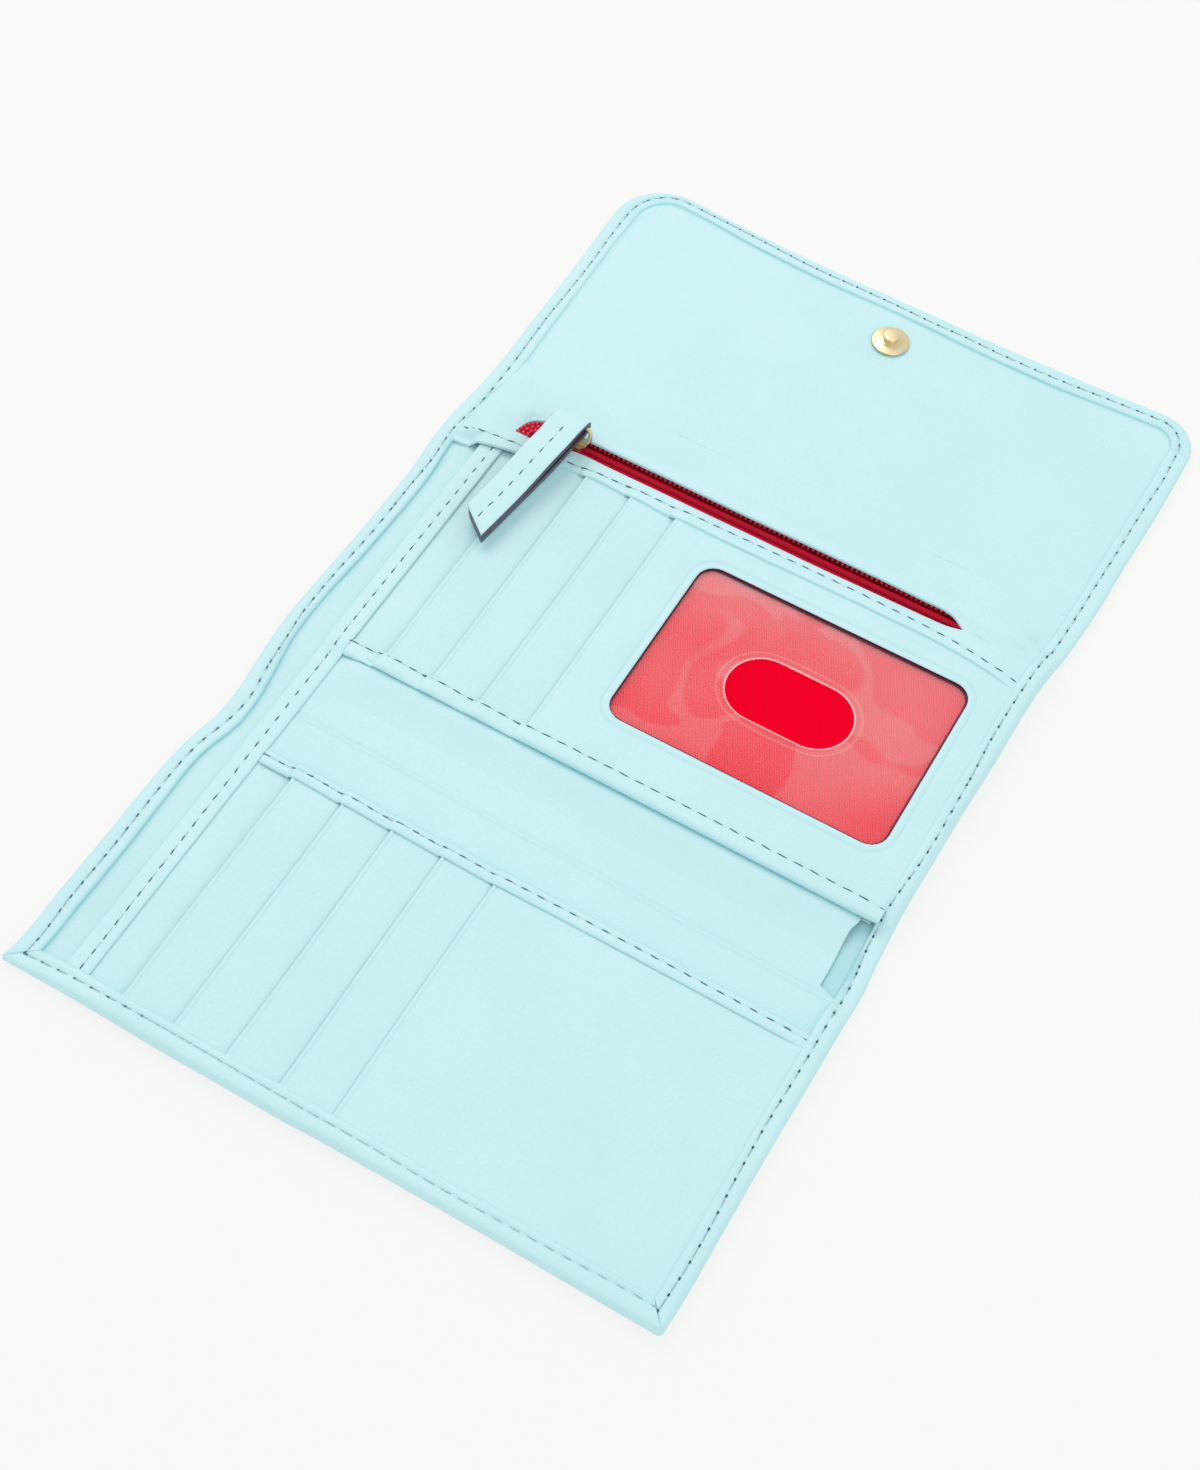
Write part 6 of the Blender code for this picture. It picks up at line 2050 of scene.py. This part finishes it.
class WALLET_OT_flap(bpy.types.Operator):
    """Make the flap's inner leather and the snap"""
    bl_idname = "wallet.flap"
    bl_label = "Flap and snap"
    bl_options = {"REGISTER", "UNDO"}

    def execute(self, context):
        flap_lining()
        snap()
        return {"FINISHED"}


class WALLET_OT_seams(bpy.types.Operator):
    """Sew every seam, inside and outside"""
    bl_idname = "wallet.seams"
    bl_label = "Stitches"
    bl_options = {"REGISTER", "UNDO"}

    def execute(self, context):
        all_seams()
        return {"FINISHED"}


class WALLET_OT_stage(bpy.types.Operator):
    """Set the floor, the studio light and the camera"""
    bl_idname = "wallet.stage"
    bl_label = "Stage"
    bl_options = {"REGISTER", "UNDO"}

    def execute(self, context):
        add_stage()
        return {"FINISHED"}


OPERATORS = (
    WALLET_OT_stage, WALLET_OT_shell, WALLET_OT_linings, WALLET_OT_strips, WALLET_OT_slots, WALLET_OT_window,
    WALLET_OT_zip, WALLET_OT_pull, WALLET_OT_flap, WALLET_OT_seams,
)


class WALLET_PT_panel(bpy.types.Panel):
    bl_idname = "WALLET_PT_panel"
    bl_label = "Flap wallet"
    bl_space_type = "VIEW_3D"
    bl_region_type = "UI"
    bl_category = "Wallet"

    def draw(self, context):
        layout = self.layout
        for group in (context.scene.wallet_sizes, context.scene.wallet_colours):
            box = layout.box()
            for name in group.__annotations__:
                box.prop(group, name)
        for operator in OPERATORS:
            layout.operator(operator.bl_idname)


def register():
    for group in (WalletSizes, WalletColours, WALLET_PT_panel, *OPERATORS):
        bpy.utils.register_class(group)
    bpy.types.Scene.wallet_sizes = PointerProperty(type=WalletSizes)
    bpy.types.Scene.wallet_colours = PointerProperty(type=WalletColours)


def unregister():
    del bpy.types.Scene.wallet_colours
    del bpy.types.Scene.wallet_sizes
    for group in reversed((WalletSizes, WalletColours, WALLET_PT_panel, *OPERATORS)):
        bpy.utils.unregister_class(group)


def main():
    register()
    for old in list(bpy.data.objects):
        if old.type in {"LIGHT", "CAMERA"}:
            bpy.data.objects.remove(old, do_unlink=True)
    for operator in OPERATORS:
        group, name = operator.bl_idname.split(".")
        getattr(getattr(bpy.ops, group), name)()


if __name__ == "__main__":
    main()
